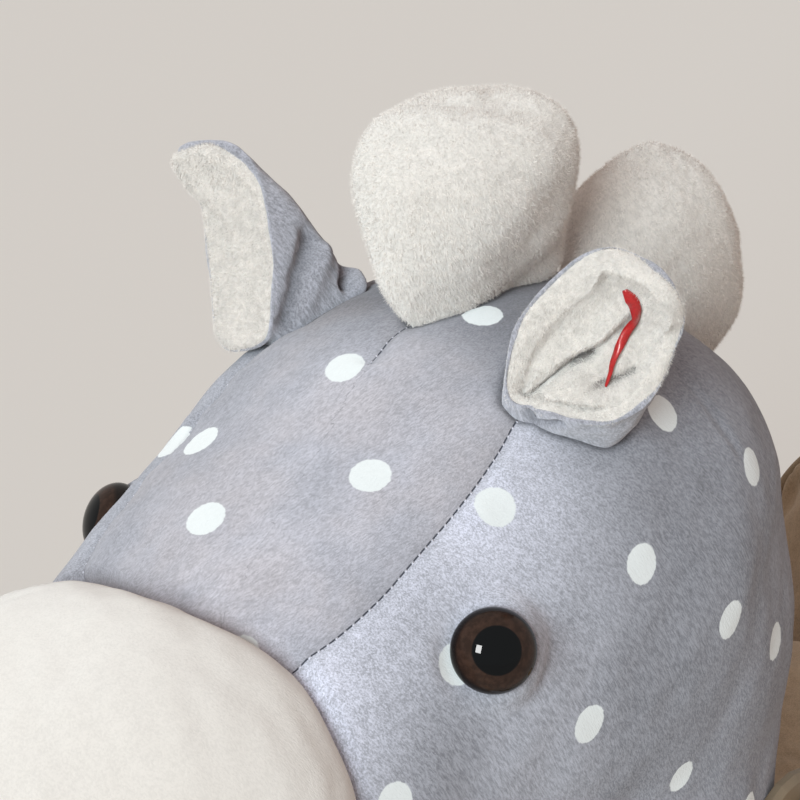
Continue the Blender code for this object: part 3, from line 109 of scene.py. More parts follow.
MUZZLE_SHARES = (
    (0.00, 0.15, 0.52, 0.36), (0.09, 0.57, 0.74, 0.14), (0.34, 0.92, 0.92, 0.01),
    (0.58, 1.00, 0.99, 0.00), (0.79, 0.97, 1.00, 0.06), (0.93, 0.88, 0.96, 0.14),
    (1.00, 0.78, 0.88, 0.22),
)

# The neck from its foot up: share of its height, shift along Y in shares of its length, and
# half width and half length in shares of the usual
NECK_SHARES = (
    (0.00, -0.01, 1.06, 0.99), (0.25, -0.01, 1.04, 1.01), (0.50, 0.00, 1.00, 1.00),
    (0.80, 0.01, 0.97, 0.98), (1.00, 0.02, 0.90, 0.90),
)
NECK_LENGTH = 0.180
NECK_WIDTH = 0.144
NECK_RISES_FROM = 0.2161        # just above the seat board
NECK_FOOT_SHARE = 0.25          # how far up the torso the neck starts
NECK_HEAD_SHARE = 0.5           # how far up the head it ends
NECK_BEHIND = 0.002             # how far its rear stays inside the head's rear
NECK_BLEND = 0.014              # reach of the soft hollow between head and neck
NECK_TUCK = 0.004               # how far its skin goes on below its own CAD piece
NECK_HELD = 0.003               # height of its foot that stays as it was built
NECK_FREE = (0.002, 0.006)      # above the foot, from held to free

# Each tuft from the root up: share of its height, half width, and its front and rear as shares
# of its length
FORELOCK_SHARES = (
    (0.00, 0.06, 0.27, 0.97), (0.07, 0.19, 0.20, 1.01), (0.15, 0.35, 0.13, 1.02),
    (0.35, 0.67, 0.04, 0.98), (0.58, 0.95, 0.00, 0.95), (0.77, 1.00, 0.02, 0.95),
    (0.90, 0.84, 0.11, 0.90), (0.97, 0.55, 0.24, 0.77), (1.00, 0.20, 0.40, 0.60),
)
CREST_SHARES = (
    (0.00, 0.30, 0.24, 0.80), (0.15, 0.66, 0.11, 0.94), (0.32, 0.90, -0.04, 0.99),
    (0.50, 1.00, -0.10, 0.97), (0.68, 0.95, -0.09, 0.88), (0.84, 0.76, -0.04, 0.75),
    (0.95, 0.45, 0.08, 0.60), (1.00, 0.18, 0.23, 0.48),
)
NAPE_SHARES = (
    (0.00, 0.20, 0.20, 0.70), (0.10, 0.60, 0.08, 0.90), (0.35, 0.95, 0.00, 1.00),
    (0.65, 1.00, 0.00, 1.00), (0.88, 0.80, 0.05, 0.92), (1.00, 0.25, 0.25, 0.70),
)
FORELOCK_SIZE = (0.056, 0.078, 0.069)   # width, length and height
CREST_SIZE = (0.042, 0.070, 0.078)
NAPE_SIZE = (0.030, 0.040, 0.078)
FORELOCK_FROM_FRONT = 0.117     # from the front of the head
CREST_PAST_REAR = 0.009         # past the rear of the head
CREST_ROOT_BEFORE_REAR = 0.020  # where the head's height sets the crest's root
CREST_RAISED = 0.001            # how much less it is sunk in than the forelock
NAPE_BEFORE_REAR = 0.026
NAPE_BELOW_CREST = 0.041        # from the crest's root down to the nape tuft's top
TUFT_SINK = 0.004
TUFT_DOME = 0.0018
TUFT_LUMPS = (0.0008, 0.00015, 0.026)   # height of coarse and fine lumps, and their size

# Pile: how many fibres, their length and width, and how steeply they rise (radians)
EAR_PILE = {"count": 42000, "length": 0.0013, "width": 0.00017, "rise": 0.75}
TUFT_PILE = {"count": 49500, "length": 0.0015, "width": 0.00020, "rise": 0.80}
NAPE_PILE = {**TUFT_PILE, "count": 20000}
FIBRE_LIE = (0.0, -0.3, -1.0)   # the way the fibres lie, and how much they stray from it
FIBRE_STRAY = 0.9
FIBRE_LENGTHS = (0.55, 1.25)    # least and greatest, in shares of the usual
FIBRE_RISES = (0.4, 1.5)
FIBRE_WIDTHS = (0.7, 1.3)
FIBRE_FACES = np.array(((1, 3, 0), (0, 3, 2), (1, 2, 3), (0, 2, 1)))    # left, right, below, tip

# The left ear's rim and foot, as loops in shares of its length: along, outward and forward
EAR_RIM_SHARES = (
    (0.05, -0.09, 0.25), (0.17, -0.23, 0.21), (0.35, -0.33, 0.13), (0.62, -0.35, 0.00),
    (0.83, -0.29, -0.04), (0.95, -0.15, -0.02), (1.00, 0.02, 0.00), (0.91, 0.14, -0.03),
    (0.74, 0.22, -0.04), (0.52, 0.31, 0.04), (0.33, 0.28, 0.16), (0.18, 0.10, 0.24),
)
EAR_FOOT_SHARES = (
    (-0.12, -0.04, 0.20), (-0.14, -0.10, 0.07), (-0.12, -0.15, -0.07), (-0.09, -0.17, -0.17),
    (-0.07, -0.09, -0.25), (-0.07, 0.02, -0.28), (-0.07, 0.14, -0.28), (-0.08, 0.26, -0.25),
    (-0.08, 0.36, -0.15), (-0.08, 0.33, 0.00), (-0.08, 0.18, 0.09), (-0.10, 0.06, 0.16),
)
EAR_LENGTH = 0.065
EAR_BASE_X = 0.046
EAR_BEHIND_FRONT = 0.136        # from the front of the head
EAR_SINK = 0.003
EAR_LUMPS = (0.0003, 0.00008, 0.016)
LINING_LUMPS = (0.00022, 0.0, 0.012)
EAR_OUTWARD = math.radians(43.7)
EAR_FORWARD = math.radians(4.4)
EAR_OPENING_TURN = math.radians(13.8)
EAR_BULGE_SHARE = 0.06
EAR_SKIN_MM = 1.2
EAR_EDGE_MM = {1: 0.0, -1: 2.0}                 # how much thicker the skin's edge is at the top
EAR_LIP_MM = {1: (2.0, 2.2), -1: (1.6, 1.4)}    # half width and height of the rolled lip
EAR_LIP_MORE_MM = {1: 2.6, -1: 0.4}             # and how much wider it is at the top
EAR_CUP_MM = {1: 10.0, -1: 3.0}                 # depth of the hollow, left and right
EAR_CUP_REACH = (0.985, 0.02)   # size of its first and last ring, in shares of the lip's
EAR_CUP_FOLDS = 0.17            # share of the way in over which its folds reach full height
LIP_START = 0.6                 # where the lip starts, across the skin's edge from outside
LINING_BACK_MM = 1.0
LIP_TURN = (0.27, 0.17)         # where the lip is wide, round the rim, and how far
LIP_FLAT_TURN = (0.90, 0.09)    # where the lip is flat, and how much of its height it loses
LIP_FLAT = 0.6
EDGE_TURN = (0.40, 0.14)        # where the skin's edge is thick
BULGE_TURN = (0.42, 0.30)       # middle and spread of the part of the round where it bulges
EDGE_FADE_ROWS = 4.0            # rows over which that edge gets thin again, down the ear
LIP_TURNS = np.radians(np.linspace(-35, 185, 16))   # round the lip, from outside to inside
LIP_SINK = 0.9                  # how far the lip's middle lies below the rim, of its height
HEM_SHIFT = {                   # where each rim is pulled: its place and spread round, and way
    1: (0.945, 0.035, (0.8, -0.3, 0.0)),
    -1: (0.890, 0.110, (-8.5, 0.0, 7.5)),
}

# Creases of the ears' skins and of the right lining: a line of knots in millimetres along,
# outward and forward, then depth and width
EAR_CREASES_MM = {
    1: ((((5.0, 0.5, 15.8), (2.6, 3.0, 13.9), (5.5, 5.5, 13.6), (9.5, 8.3, 14.0)), 3.4, 1.5),
        (((4.0, 16.0, 14.0), (14.0, 17.0, 12.0)), 1.4, 3.0)),
    -1: ((((18.5, -20.2, -4.8), (15.0, -20.0, -0.8), (10.1, -18.1, 5.7), (5.0, -13.8, 10.2),
           (1.1, -9.7, 13.3)), 3.4, 2.9),
         (((13.0, -17.5, -8.5), (6.0, -17.0, 1.0), (1.0, -12.0, 8.0)), -1.6, 3.0),
         (((6.0, -12.3, -13.2), (1.4, -14.5, -9.0)), 5.0, 1.6),
         (((3.5, -9.0, -15.7), (-1.0, -11.5, -12.8)), -4.8, 3.2)),
}
# A lining crease this many millimetres in gets the full painted shade
LINING_SHADED_MM = 4.6
CREASE_SHADED_MM = 4.5          # a crease this far in gets the full painted shade
LINING_CREASES_MM = (
    (((41.0, 8.0, 4.0), (34.0, 7.0, 4.0), (27.5, 3.6, 4.0), (20.5, -3.0, 4.0)), 2.4, 1.3),
    (((56.0, 2.0, 0.0), (44.0, -10.0, 2.0)), 0.5, 5.0),
)

# Folds inside the left ear, in millimetres along and outward
FOLD_START_MM = ((0.0, -8.5), (17.0, -12.2), (33.0, -16.0), (46.0, -14.6))
FOLD_RIDGE_MM = ((0.0, -4.5), (20.0, -3.6), (31.0, -1.1), (43.0, -1.5))
FOLD_RISE = 6.0
FOLD_END = (36.0, 47.0)         # where the fold fades out, along
FOLD_LIP = (-0.3, 0.9)          # where the fold drops off, across
VALLEY_DEPTH = 1.6
VALLEY_WIDTH = 2.4
FLAP_RISE = 6.5                 # of the lower flap
FLAP_START = (0.4, 4.0)         # where it rises, across
FLAP_END = (18.5, 22.5)         # where it ends, along
FLAP_LEAN = 0.2
MOUND_MM = (30.0, 4.0)          # a second, rounder fold beyond the flap
MOUND_REACH = (7.0, 6.5)
MOUND_RISE = 3.2
MOUND_EDGE = (0.35, 1.15)       # where it fades, in shares of its reach
INNER_CREASES_MM = (            # the slit under the ridge, two pockets and a soft dent
    (((0.0, -3.9), (20.0, -3.0), (31.0, -0.5)), 2.4, 0.7),
    (((17.0, -2.2), (22.5, -0.3)), 4.2, 1.3),
    (((21.5, 7.3), (24.0, 9.8), (29.0, 11.2)), 3.6, 1.2),
    (((34.0, 12.0), (45.0, 8.5)), 1.6, 1.8),
)
LABEL_MM = ((48.5, -6.7), (46.8, -2.6), (42.5, 0.9), (36.5, 2.0), (28.8, 5.8), (22.4, 9.3))
LABEL_HALF_MM = 1.45
LABEL_CLEAR_MM = 1.5
LABEL_THICK_MM = 0.25
LABEL_SECTION = ((-1, -1), (0, -1.5), (1, -1), (1, 1), (0, 0.5), (-1, 1))  # in half widths, thicks
LABEL_LIFT = (0.0, 0.35, 1.0)   # the way its flat side faces: along, outward and forward
LABEL_ROWS = 70
LABEL_SMOOTHING = 17            # points of its line whose heights are evened out
LABEL_TAPER = 0.6               # power with which it gets narrow towards its end
LABEL_WAVE = (0.15, 13)         # how much its width varies, and how fast along it
LABEL_TWISTS = ((0.45, 6.0), (0.35, 25))    # how far it twists (radians), and how fast

# How forms are built
DOME_SHARES = (0.96, 0.88, 0.77, 0.63, 0.47, 0.30, 0.12)    # sizes of the rings that close an end
SLOPE_STEP = 0.0004             # distance over which the slope of a field is taken
SETTLE_REACH = 0.004            # how far a point settles in one round
FLATTEST = 0.05                 # least square of a slope to go by
HEAD_SQUARENESS = 2.3           # 2 is an ellipse across the form
TORSO_SQUARENESS = 2.4
ROUND_SQUARENESS = 2.1

# Seams on the head, in millimetres: the left one from the muzzle to the nape, and the dart
SIDE_SEAM_MM = (
    (41.4, -209, 450), (45.8, -196, 455), (49.0, -182, 462),
    (49.4, -171, 467), (49.7, -159, 473), (49.8, -145, 480), (49.4, -131, 488.5),
    (46.3, -117, 495), (43.0, -100, 500), (38.0, -75, 504), (31.0, -45, 500),
    (23.0, -15, 486), (15.0, 10, 462), (9.0, 28, 430), (6.0, 38, 405),
)
DART_MM = ((-1.0, -110, 509), (-1.0, -118, 507), (1.3, -131, 503))
DART_LENGTH = 0.024
DART_CLOSING = 0.005            # length over which the dart runs out
DART_FADE = 0.010               # how far beyond its end the dart counts as away
SUNK_RIGHT = 0.8                # how far the stitches on the right hide in the pile
SEAM_VALLEY = (0.0050, 0.0010)  # half width and depth of the dip along a seam
SEAM_GROOVE = (0.0012, 0.0006)  # and of the groove in it
PUCKER_AWAY = 0.005             # distance of the puckers from their seam, and their spread
PUCKER_HEIGHT = 0.00045
PUCKER_SIZE = 0.011
HEAD_VOXEL = 0.0034
HEAD_LUMPS = ((0.0006, 0.050, 1), (0.00022, 0.016, 2))      # height, size and seed

# Muzzle: its form, and the edge along which it is sewn to the head
MUZZLE_LENGTH = 0.106
MUZZLE_DOME = 0.0015
MUZZLE_LUMPS = ((0.0008, 0.045, 11), (0.0002, 0.012, 12))   # height, size and seed
MUZZLE_TURN_IN = (0.62, 1.0)    # share of its length where it is drawn to the edge
MUZZLE_INSET = 0.035            # how far its sewn edge turns in, as a share of its radius
MUZZLE_TUCK = 0.05              # how far each row behind that goes on inwards
MUZZLE_TUCK_BACK = 0.002        # and back
MUZZLE_SEAT_DEPTH = 0.0040      # how far the head's skin sinks under it
MUZZLE_SEAT_EDGE = (-0.001, 0.0045)     # behind the sewn edge, from sunk to free
MUZZLE_EDGE_Y = -0.2095
MUZZLE_EDGE_POINT = 0.0085      # how far its edge runs forward on the midline
MUZZLE_EDGE_SPREAD = 0.019      # half width of that point
MUZZLE_CORNER_X = 0.041         # where the side seams pull its edge back
MUZZLE_CORNER_PULL = 0.0022
MUZZLE_CORNER_SPREAD = 0.012

# Behind the cheek the skin leaves the solid
REAR_TRIM_Y = (-0.060, -0.005)  # where it starts to, and where it does fully
REAR_TRIMS = (                  # how far it lies inside: depth, middle height and spread
    (0.0055, 0.430, 0.045), (0.0030, 0.427, 0.020), (-0.0020, 0.372, 0.025),
)

# Wrinkles of the cheek's skin, pulled towards the ear: their start and their ends
WRINKLE_START_MM = (54.0, -58.0, 500.0)
WRINKLE_ENDS_MM = ((73.0, -44.0, 468.0), (68.0, -37.0, 478.0), (61.0, -32.0, 487.0))
WRINKLE_DEPTH = 0.0009
WRINKLE_WIDTH_MM = 1.8

# Printed dots in millimetres: those on the top panel, then those on the left cheek
TOP_DOTS_MM = (
    (26.3, -158.3, 485.4), (15.0, -94.9, 510.9), (-8.5, -187.9, 471.9), (-34.9, -161.9, 480.3),
    (-5.0, -132.6, 501.6), (26.8, -214.6, 453.4),
)
LEFT_DOTS_MM = (
    (56.4, -140.3, 477.9), (66.6, -169.2, 443.8), (78.8, -101.7, 453.6), (79.2, -125.2, 412.2),
    (82.8, -62.7, 423.2), (73.8, -37.8, 461.5), (71.3, -71.3, 372.4), (69.5, -28.2, 340.3),
    (63.4, -71.1, 486.5), (68.1, -198.1, 413.9),
)
DOT_RADIUS = 0.006
DOT_SOFT = 0.00025              # half width of a dot's soft edge
DOT_RAGGED = 0.0009             # how far its edge wanders in all
DOT_STEP_Y = (0.040, -0.028)    # one step of the print's grid, along Y and Z
DOT_STEP_Z = (-0.029, -0.035)
DOT_ORIGIN = (-0.1017, 0.4536)
DOTS_KNOWN = [(0, 0), (-1, 0), (1, 0), (0, 1), (1, 1), (-1, 1), (2, 1), (3, 1), (-1, -1),
              (0, -1), (1, -1), (-2, 1)]    # crossings of the grid that the list above replaces
RIGHT_DOTS_SHIFT = (0.012, 0.009)
BODY_DOT_SPACING = 0.034

# Where the eyes are sewn on: turned from the front and tilted up, left and right
EYE_TURN = {1: math.radians(46), -1: math.radians(36)}
EYE_TILT = {1: math.radians(26), -1: math.radians(22)}
EYE_FROM_FRONT = 0.077
EYE_ABOVE_BASE = 0.113
EYE_SHIFT = {1: (0.0001, 0.0013, -0.0004), -1: (-0.0001, 0.0013, -0.0035)}     # outward, Y and Z
EYE_RADIUS = 0.012
EYE_DOME = 0.0100               # height of the dome, from the flat back
EYE_RIM = 0.0012                # height of the rim below it
EYE_STANDS_OUT = 0.0045
EYE_BACK_GAP = 0.0003           # between the flat back and the skin
EYE_STEM = ((0.0030, -0.016), (0.0030, 0.0), (0.0113, 0.0), (0.0119, 0.0003), (0.0120, 0.0009))
SEAT_REACH = (0.0110, 0.0190)   # where the skin stops following the eye's flat back
PUPIL_EDGE = (0.0066, 0.0071)   # from the eye's middle
IRIS_EDGE = (0.0102, 0.0112)

# Painted shade: the grey pile is painted darker where the surface faces the rear, and more so on
# the head's right side
REAR_PAINTED_SHADE = 0.54
REAR_PAINTED_SHADE_FACING = (-0.50, 0.02)  # of the surface's direction along Y
RIGHT_PAINTED_SHADE = 0.32            # how much more painted shade on the right side, and where that starts
RIGHT_PAINTED_SHADE_FROM = (-0.005, 0.035)
RIGHT_PAINTED_SHADE_CHEEK = 0.25

# Where a tuft or an ear stands on the grey pile, it presses a groove into it, and painted shade
# darkens the pile along it
PRESSED_REACH = 0.0016
PRESSED_DEPTH = 0.0008
PRESSED_PAINTED_SHADE = 0.60

# Stitches
STITCH_PITCH = 0.0031
STITCH_WIDTH = 0.00034          # half of the dark thread's width
STITCH_SLANT = 0.35             # how much each stitch leans across its seam
SEAM_SHADE = (0.0030, 0.16)     # half width of the soft shade along a seam, and its strength

# Torso, legs and hooves; lumps are the height of coarse and fine ones, and their size
TORSO_DOME = 0.0020
TORSO_LUMPS = (0.0010, 0.0001, 0.050)
BELLY_SEAM_TOP = 0.22
BELLY_SEAM_AWAY = 0.05          # how far away the seam counts as above that
POST_FOOT_X = 0.088             # the posts inside the legs, as in the CAD
POST_HEAD_X = 0.056
POST_BOTTOM = 0.0846
POST_HEIGHT = 0.116
LEG_LINES = {"front": (-0.152, -0.092), "rear": (0.176, 0.172)}     # Y of each foot and head
LEG_TOP = 0.1993
LEG_RADII = ((0, 0.3, 0.6, 0.8, 1.0), (0.029, 0.0339, 0.036, 0.0346, 0.026))   # at shares up it
LEG_FLATNESS = 0.92
LEG_LUMPS = (0.0006, 0.0002, 0.025)
LEG_SEAM_RADIUS = 0.033
HOOF_HALF_WIDTH = 0.036
HOOF_HALF_LENGTH = 0.041
HOOF_SQUARENESS = 2.4
HOOF_LEAN = 0.6                 # how far a hoof follows its leg's slant
HOOF_SHARES = ((0.0, 0.90), (0.10, 0.97), (0.35, 1.0), (0.65, 0.97), (0.9, 0.86), (1.0, 0.74))
HOOF_SOLE = (0.06, 0.08)        # share of its height where its sole rounds off, and how fast
HOOF_LUMPS = (0.0005, 0.0003, 0.02)

# Tail
TAIL_ROOT_IN = 0.006            # how far its root lies inside the rump
TAIL_ROOT_SHARE = 0.62          # height of the root on the torso
TAIL_WIDTH = 0.044
TAIL_DROP = 0.120
TAIL_SWING = 0.042              # how far it swings out to the rear
TAIL_SWING_TURN = 1.9           # and the turn over which it does, from root to tip (radians)
TAIL_DROOP = 1.4                # power with which it starts to hang
TAIL_FLATNESS = (0.30, 0.25)    # half its size along Y and up, in shares of its width
TAIL_LUMPS = (0.0009, 0.0004, 0.020)

# Saddle and back cushion
SADDLE_PAD = 0.020              # thickness in the middle
SADDLE_SKIRT = 0.007            # and towards its sides
SADDLE_REACH = math.radians(103)    # how far it reaches down, from straight up
SADDLE_LEAST = 0.0009
SADDLE_ENDS = 0.25              # share of its thickness left at front and rear
SADDLE_SIDES = 0.30             # and at its sides
SADDLE_UNDER = 0.001            # how far its underside lies in the torso's skin
SADDLE_CHANNELS = (-0.33, 0.33)     # across, in shares of its reach
CHANNEL_DEPTH = 0.0022
CHANNEL_WIDTH = 0.012
SADDLE_HEM = (0.01, 0.99)       # where the piping runs, in shares of length and of reach
SADDLE_HEM_GROW = 0.0026
PADDED_LUMPS = (0.0005, 0.0002, 0.03)
PIPING_RADIUS = 0.0022
PIPING_SPACING = 0.002
CUSHION_LEAN = math.radians(7.0)
CUSHION_HALF_WIDTH = 0.092
CUSHION_HALF_HEIGHT = 0.075
CUSHION_THICKNESS = 0.040
CUSHION_CORNERS = {1: 0.058, -1: 0.026}     # radius of the upper and of the lower corners
CUSHION_LEAST = 0.04            # size of its first ring, as a share of its outline
CUSHION_PUCKER_HEIGHT = 0.0007
CUSHION_PUCKER_SIZE = 0.012
CUSHION_PUCKER_AWAY = 0.007     # from the seam
CUSHION_PUCKER_SPREAD = 0.006
CUSHION_SEAM = (0.0035, 0.0018)     # half width and depth of the dip along its seam

# The back cushion's cover, blown up as cloth
CLOTH_VOXEL = 0.005
CLOTH_PRESSURE = 4.0
CLOTH_STEPS = 20
CLOTH_SHRINK = -0.05            # the cloth is cut this much larger than the form
CLOTH_HELD = 0.7                # half height of its held seam, in voxels
CUSHION_SWELL = 0.007


def profile(table, column, at):
    """A column of a table of shares at the given places, on a smooth curve."""
    stations = np.array(table, float)
    x, y = stations[:, 0], stations[:, column]
    slope = np.gradient(y)
    slope[1:-1] = (y[2:] - y[:-2]) / (x[2:] - x[:-2])
    slope[0] = (y[1] - y[0]) / (x[1] - x[0])
    slope[-1] = (y[-1] - y[-2]) / (x[-1] - x[-2])
    at = np.asarray(at, float)
    k = np.clip(np.searchsorted(x, at, side="right") - 1, 0, len(x) - 2)
    step = x[k + 1] - x[k]
    t = np.clip((at - x[k]) / step, 0.0, 1.0)
    bend = t * (1 - t) ** 2 * step * slope[k] + t * t * (t - 1) * step * slope[k + 1]
    return y[k] + (y[k + 1] - y[k]) * t * t * (3 - 2 * t) + bend


def oval(count, exponent=2.0):
    """Unit points of a superellipse, anticlockwise from +X."""
    angle = np.linspace(0, 2 * math.pi, count, endpoint=False)
    c, s = np.cos(angle), np.sin(angle)
    power = 2 / exponent
    return np.stack([np.sign(c) * abs(c) ** power, np.sign(s) * abs(s) ** power], -1)


def even_shares(count):
    """Shares from 0 to 1, closer together near both ends."""
    return (1 - np.cos(np.linspace(0, math.pi, count + 1))) / 2


def smooth_step(value, low, high):
    """0 below low, 1 above high, and a smooth rise between them."""
    t = np.clip((value - low) / (high - low), 0.0, 1.0)
    return t * t * (3 - 2 * t)


def waves(points, size, seed, count=28):
    """Smooth noise from about -1 to 1, with bumps of about that size."""
    rng = np.random.default_rng(seed)
    direction = rng.normal(size=(count, 3))
    direction /= np.linalg.norm(direction, axis=1)[:, None]
    rate = 2 * math.pi / size * rng.uniform(0.55, 1.25, count)
    phase = rng.uniform(0, 2 * math.pi, count)
    total = np.cos(points @ (direction * rate[:, None]).T + phase).sum(1)
    return total / math.sqrt(count)


def lumps(points, kinds):
    """Height of several kinds of smooth lumps, each with its height, size and seed."""
    return sum(height * waves(points, size, seed) for height, size, seed in kinds)


def bell(away, width, height=1.0):
    """A smooth hump, as high as height at 0 and fading over its width."""
    return height * np.exp(-(away / width) ** 2)


def unit(vectors):
    """The same vectors, one long."""
    return vectors / np.maximum(np.linalg.norm(vectors, axis=-1, keepdims=True), 1e-12)


def level_rings(x, y, z, half_x, half_y, squareness, columns):
    """Level rings of points, one for each height z."""
    across = oval(columns, squareness)
    rings = np.empty((len(z), columns, 3))
    rings[:, :, 0] = np.reshape(x, (-1, 1)) + half_x[:, None] * across[:, 0]
    rings[:, :, 1] = np.reshape(y, (-1, 1)) + half_y[:, None] * across[:, 1]
    rings[:, :, 2] = z[:, None]
    return rings


class Form:
    """A form that swells along Y, from a table of shares and the box of its CAD node."""

    def __init__(self, table, node, squareness, length=None):
        """Work out the scale that makes the table's form fill the node's box."""
        low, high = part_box(node)
        self.table, self.squareness = table, squareness
        self.front = low.y
        self.length = high.y - low.y if length is None else length
        self.width = (high.x - low.x) / np.max(profile(table, 1, np.linspace(0, 1, 400))) / 2
        tops = profile(table, 2, np.linspace(0, 1, 400))
        bottoms = profile(table, 3, np.linspace(0, 1, 400))
        self.depth = (high.z - low.z) / (tops.max() - bottoms.min())
        self.base = low.z - bottoms.min() * self.depth

    def section(self, y):
        """Half width, middle height and half depth at y."""
        share = (y - self.front) / self.length
        half_width = profile(self.table, 1, share) * self.width
        top = self.base + profile(self.table, 2, share) * self.depth
        bottom = self.base + profile(self.table, 3, share) * self.depth
        return half_width, (top + bottom) / 2, (top - bottom) / 2

    def rings(self, rows, columns, start=0.0, end=1.0):
        """Rings of points from front to back, between two shares of the length."""
        y = self.front + self.length * (start + (end - start) * even_shares(rows))
        half_width, middle, half_depth = self.section(y)
        across = oval(columns, self.squareness)
        points = np.empty((len(y), columns, 3))
        points[:, :, 0] = half_width[:, None] * across[:, 0]
        points[:, :, 1] = y[:, None]
        points[:, :, 2] = middle[:, None] + half_depth[:, None] * across[:, 1]
        return points

    def field(self, points):
        """About the distance outside the form, negative inside."""
        half_width, middle, half_depth = self.section(points[:, 1])
        n = self.squareness
        across = abs(points[:, 0] / half_width) ** n
        up = abs((points[:, 2] - middle) / half_depth) ** n
        reach = (across + up) ** (1 / n)
        share = (points[:, 1] - self.front) / self.length
        past = (abs(share - 0.5) - 0.5) * self.length
        return np.maximum((reach - 1) * np.minimum(half_width, half_depth), past)

    def height(self, x, y):
        """Height of the upper skin above x and y."""
        half_width, middle, half_depth = self.section(np.asarray(y, float))
        n = self.squareness
        return middle + half_depth * (1 - (abs(x) / half_width) ** n) ** (1 / n)


HEAD = Form(HEAD_SHARES, "head", HEAD_SQUARENESS)
TORSO = Form(TORSO_SHARES, "torso", TORSO_SQUARENESS)
MUZZLE = Form(MUZZLE_SHARES, "muzzle", ROUND_SQUARENESS, MUZZLE_LENGTH)


# Building meshes

def new_object(name, verts, faces, smooth=True):
    """A mesh object from points and faces; an array of faces goes in far quicker than a list."""
    mesh = bpy.data.meshes.new(name)
    if isinstance(faces, np.ndarray):
        sides = faces.shape[1]
        mesh.vertices.add(len(verts))
        mesh.vertices.foreach_set("co", np.asarray(verts, np.float32).ravel())
        mesh.loops.add(faces.size)
        mesh.loops.foreach_set("vertex_index", faces.astype(np.int32).ravel())
        mesh.polygons.add(len(faces))
        mesh.polygons.foreach_set("loop_start", np.arange(0, faces.size, sides, dtype=np.int32))
        mesh.update(calc_edges=True)
    else:
        mesh.from_pydata([tuple(v) for v in verts], [], faces)
        mesh.update()
    mesh.polygons.foreach_set("use_smooth", np.full(len(mesh.polygons), smooth))
    obj = bpy.data.objects.new(name, mesh)
    bpy.context.scene.collection.objects.link(obj)
    return obj


def ring_faces(rows, columns):
    """Four-sided faces between rings of points."""
    r = np.arange(rows - 1)[:, None]
    c = np.arange(columns)[None, :]
    after = (c + 1) % columns
    quads = np.stack([r * columns + c, r * columns + after,
                      (r + 1) * columns + after, (r + 1) * columns + c], -1)
    return quads.reshape(-1, 4)


def joined_ends(rows, columns):
    """Faces from the last row of points back to the first."""
    c = np.arange(columns)
    after = (c + 1) % columns
    last = (rows - 1) * columns
    return np.stack([c + last, after + last, after, c], -1)


def closed_band(name, rings):
    """A closed body from rows of points whose last row joins the first."""
    points = rings.reshape(-1, 3)
    faces = np.concatenate([ring_faces(*rings.shape[:2]), joined_ends(*rings.shape[:2])])
    return new_object(name, points, outward_faces(points, faces))


def outward_faces(points, faces):
    """The same four-sided faces, turned so that they face out of the body they close."""
    a, b, c, d = [points[faces[:, k]] for k in range(4)]
    volume = (np.cross(a, b) * c).sum() + (np.cross(a, c) * d).sum()
    return faces if volume > 0 else faces[:, ::-1]


def domed_end(rings, swell):
    """Rings that close the last of these with a low dome, swell high."""
    last = rings[-1]
    middle = last.mean(0)
    way = unit(middle - rings[-12].mean(0))
    return np.stack([middle + (last - middle) * k + way * swell * (1 - k * k) for k in DOME_SHARES])


def rounded_ends(rings, swell):
    """The same rings with a low dome at each end."""
    return np.concatenate([domed_end(rings[::-1], swell)[::-1], rings, domed_end(rings, swell)])


def closed_rings(name, rings):
    """A closed body from rows of rings, with a fan at each end."""
    rows, columns = rings.shape[:2]
    verts = np.concatenate([rings.reshape(-1, 3), rings[:1].mean(1), rings[-1:].mean(1)])
    quads = ring_faces(rows, columns)
    turned = outward_faces(verts, quads)[0, 0] != quads[0, 0]
    first, last = rows * columns, rows * columns + 1
    faces = [tuple(q) for q in quads]
    for c in range(columns):
        after = (c + 1) % columns
        faces.append((first, after, c))
        faces.append((last, (rows - 1) * columns + c, (rows - 1) * columns + after))
    if turned:
        faces = [f[::-1] for f in faces]
    return new_object(name, verts, faces)


def vertices(obj):
    """The mesh's points as an array."""
    points = np.empty(len(obj.data.vertices) * 3, np.float32)
    obj.data.vertices.foreach_get("co", points)
    return points.reshape(-1, 3).astype(float)


def normals(obj):
    """The mesh's vertex normals as an array."""
    found = np.empty(len(obj.data.vertices) * 3, np.float32)
    obj.data.vertex_normals.foreach_get("vector", found)
    return found.reshape(-1, 3).astype(float)


def set_vertices(obj, points):
    """Put the mesh's points where the array says."""
    obj.data.vertices.foreach_set("co", np.asarray(points, np.float32).ravel())
    obj.data.update()


def set_value(obj, name, values):
    """Keep one number for each vertex, for the material to read."""
    layer = obj.data.attributes.new(name, "FLOAT", "POINT")
    layer.data.foreach_set("value", np.asarray(values, np.float32))


def paint_rear_shade(obj, towards, more=0.0):
    """Keep how much painted shade the pile gets, darker where the form faces the rear."""
    set_value(obj, "rear_and_right_painted_shade", np.minimum(smooth_step(towards[:, 1], *REAR_PAINTED_SHADE_FACING) + more, 1))


def nearest_distance(points, others):
    """How far each point is from the nearest of some others."""
    tree = KDTree(len(others))
    for index, other in enumerate(others):
        tree.insert(other, index)
    tree.balance()
    return np.array([tree.find(point)[2] for point in points])


def press(skin, pieces):
    """Sink a skin's pile where other pieces stand on it, and keep how much for the material to
    paint shade along that groove.
    """
    reach = 4 * PRESSED_REACH
    feet = np.concatenate([vertices(piece) for piece in pieces])
    feet = feet[abs(head_field(feet)) < reach]
    own = vertices(skin)
    close = ((own > feet.min(0) - reach) & (own < feet.max(0) + reach)).all(1)
    near = np.zeros(len(own))
    near[close] = bell(nearest_distance(own[close], feet), PRESSED_REACH)
    set_value(skin, "pressed_and_painted_shade", near)
    set_vertices(skin, own - normals(skin) * (PRESSED_DEPTH * near)[:, None])


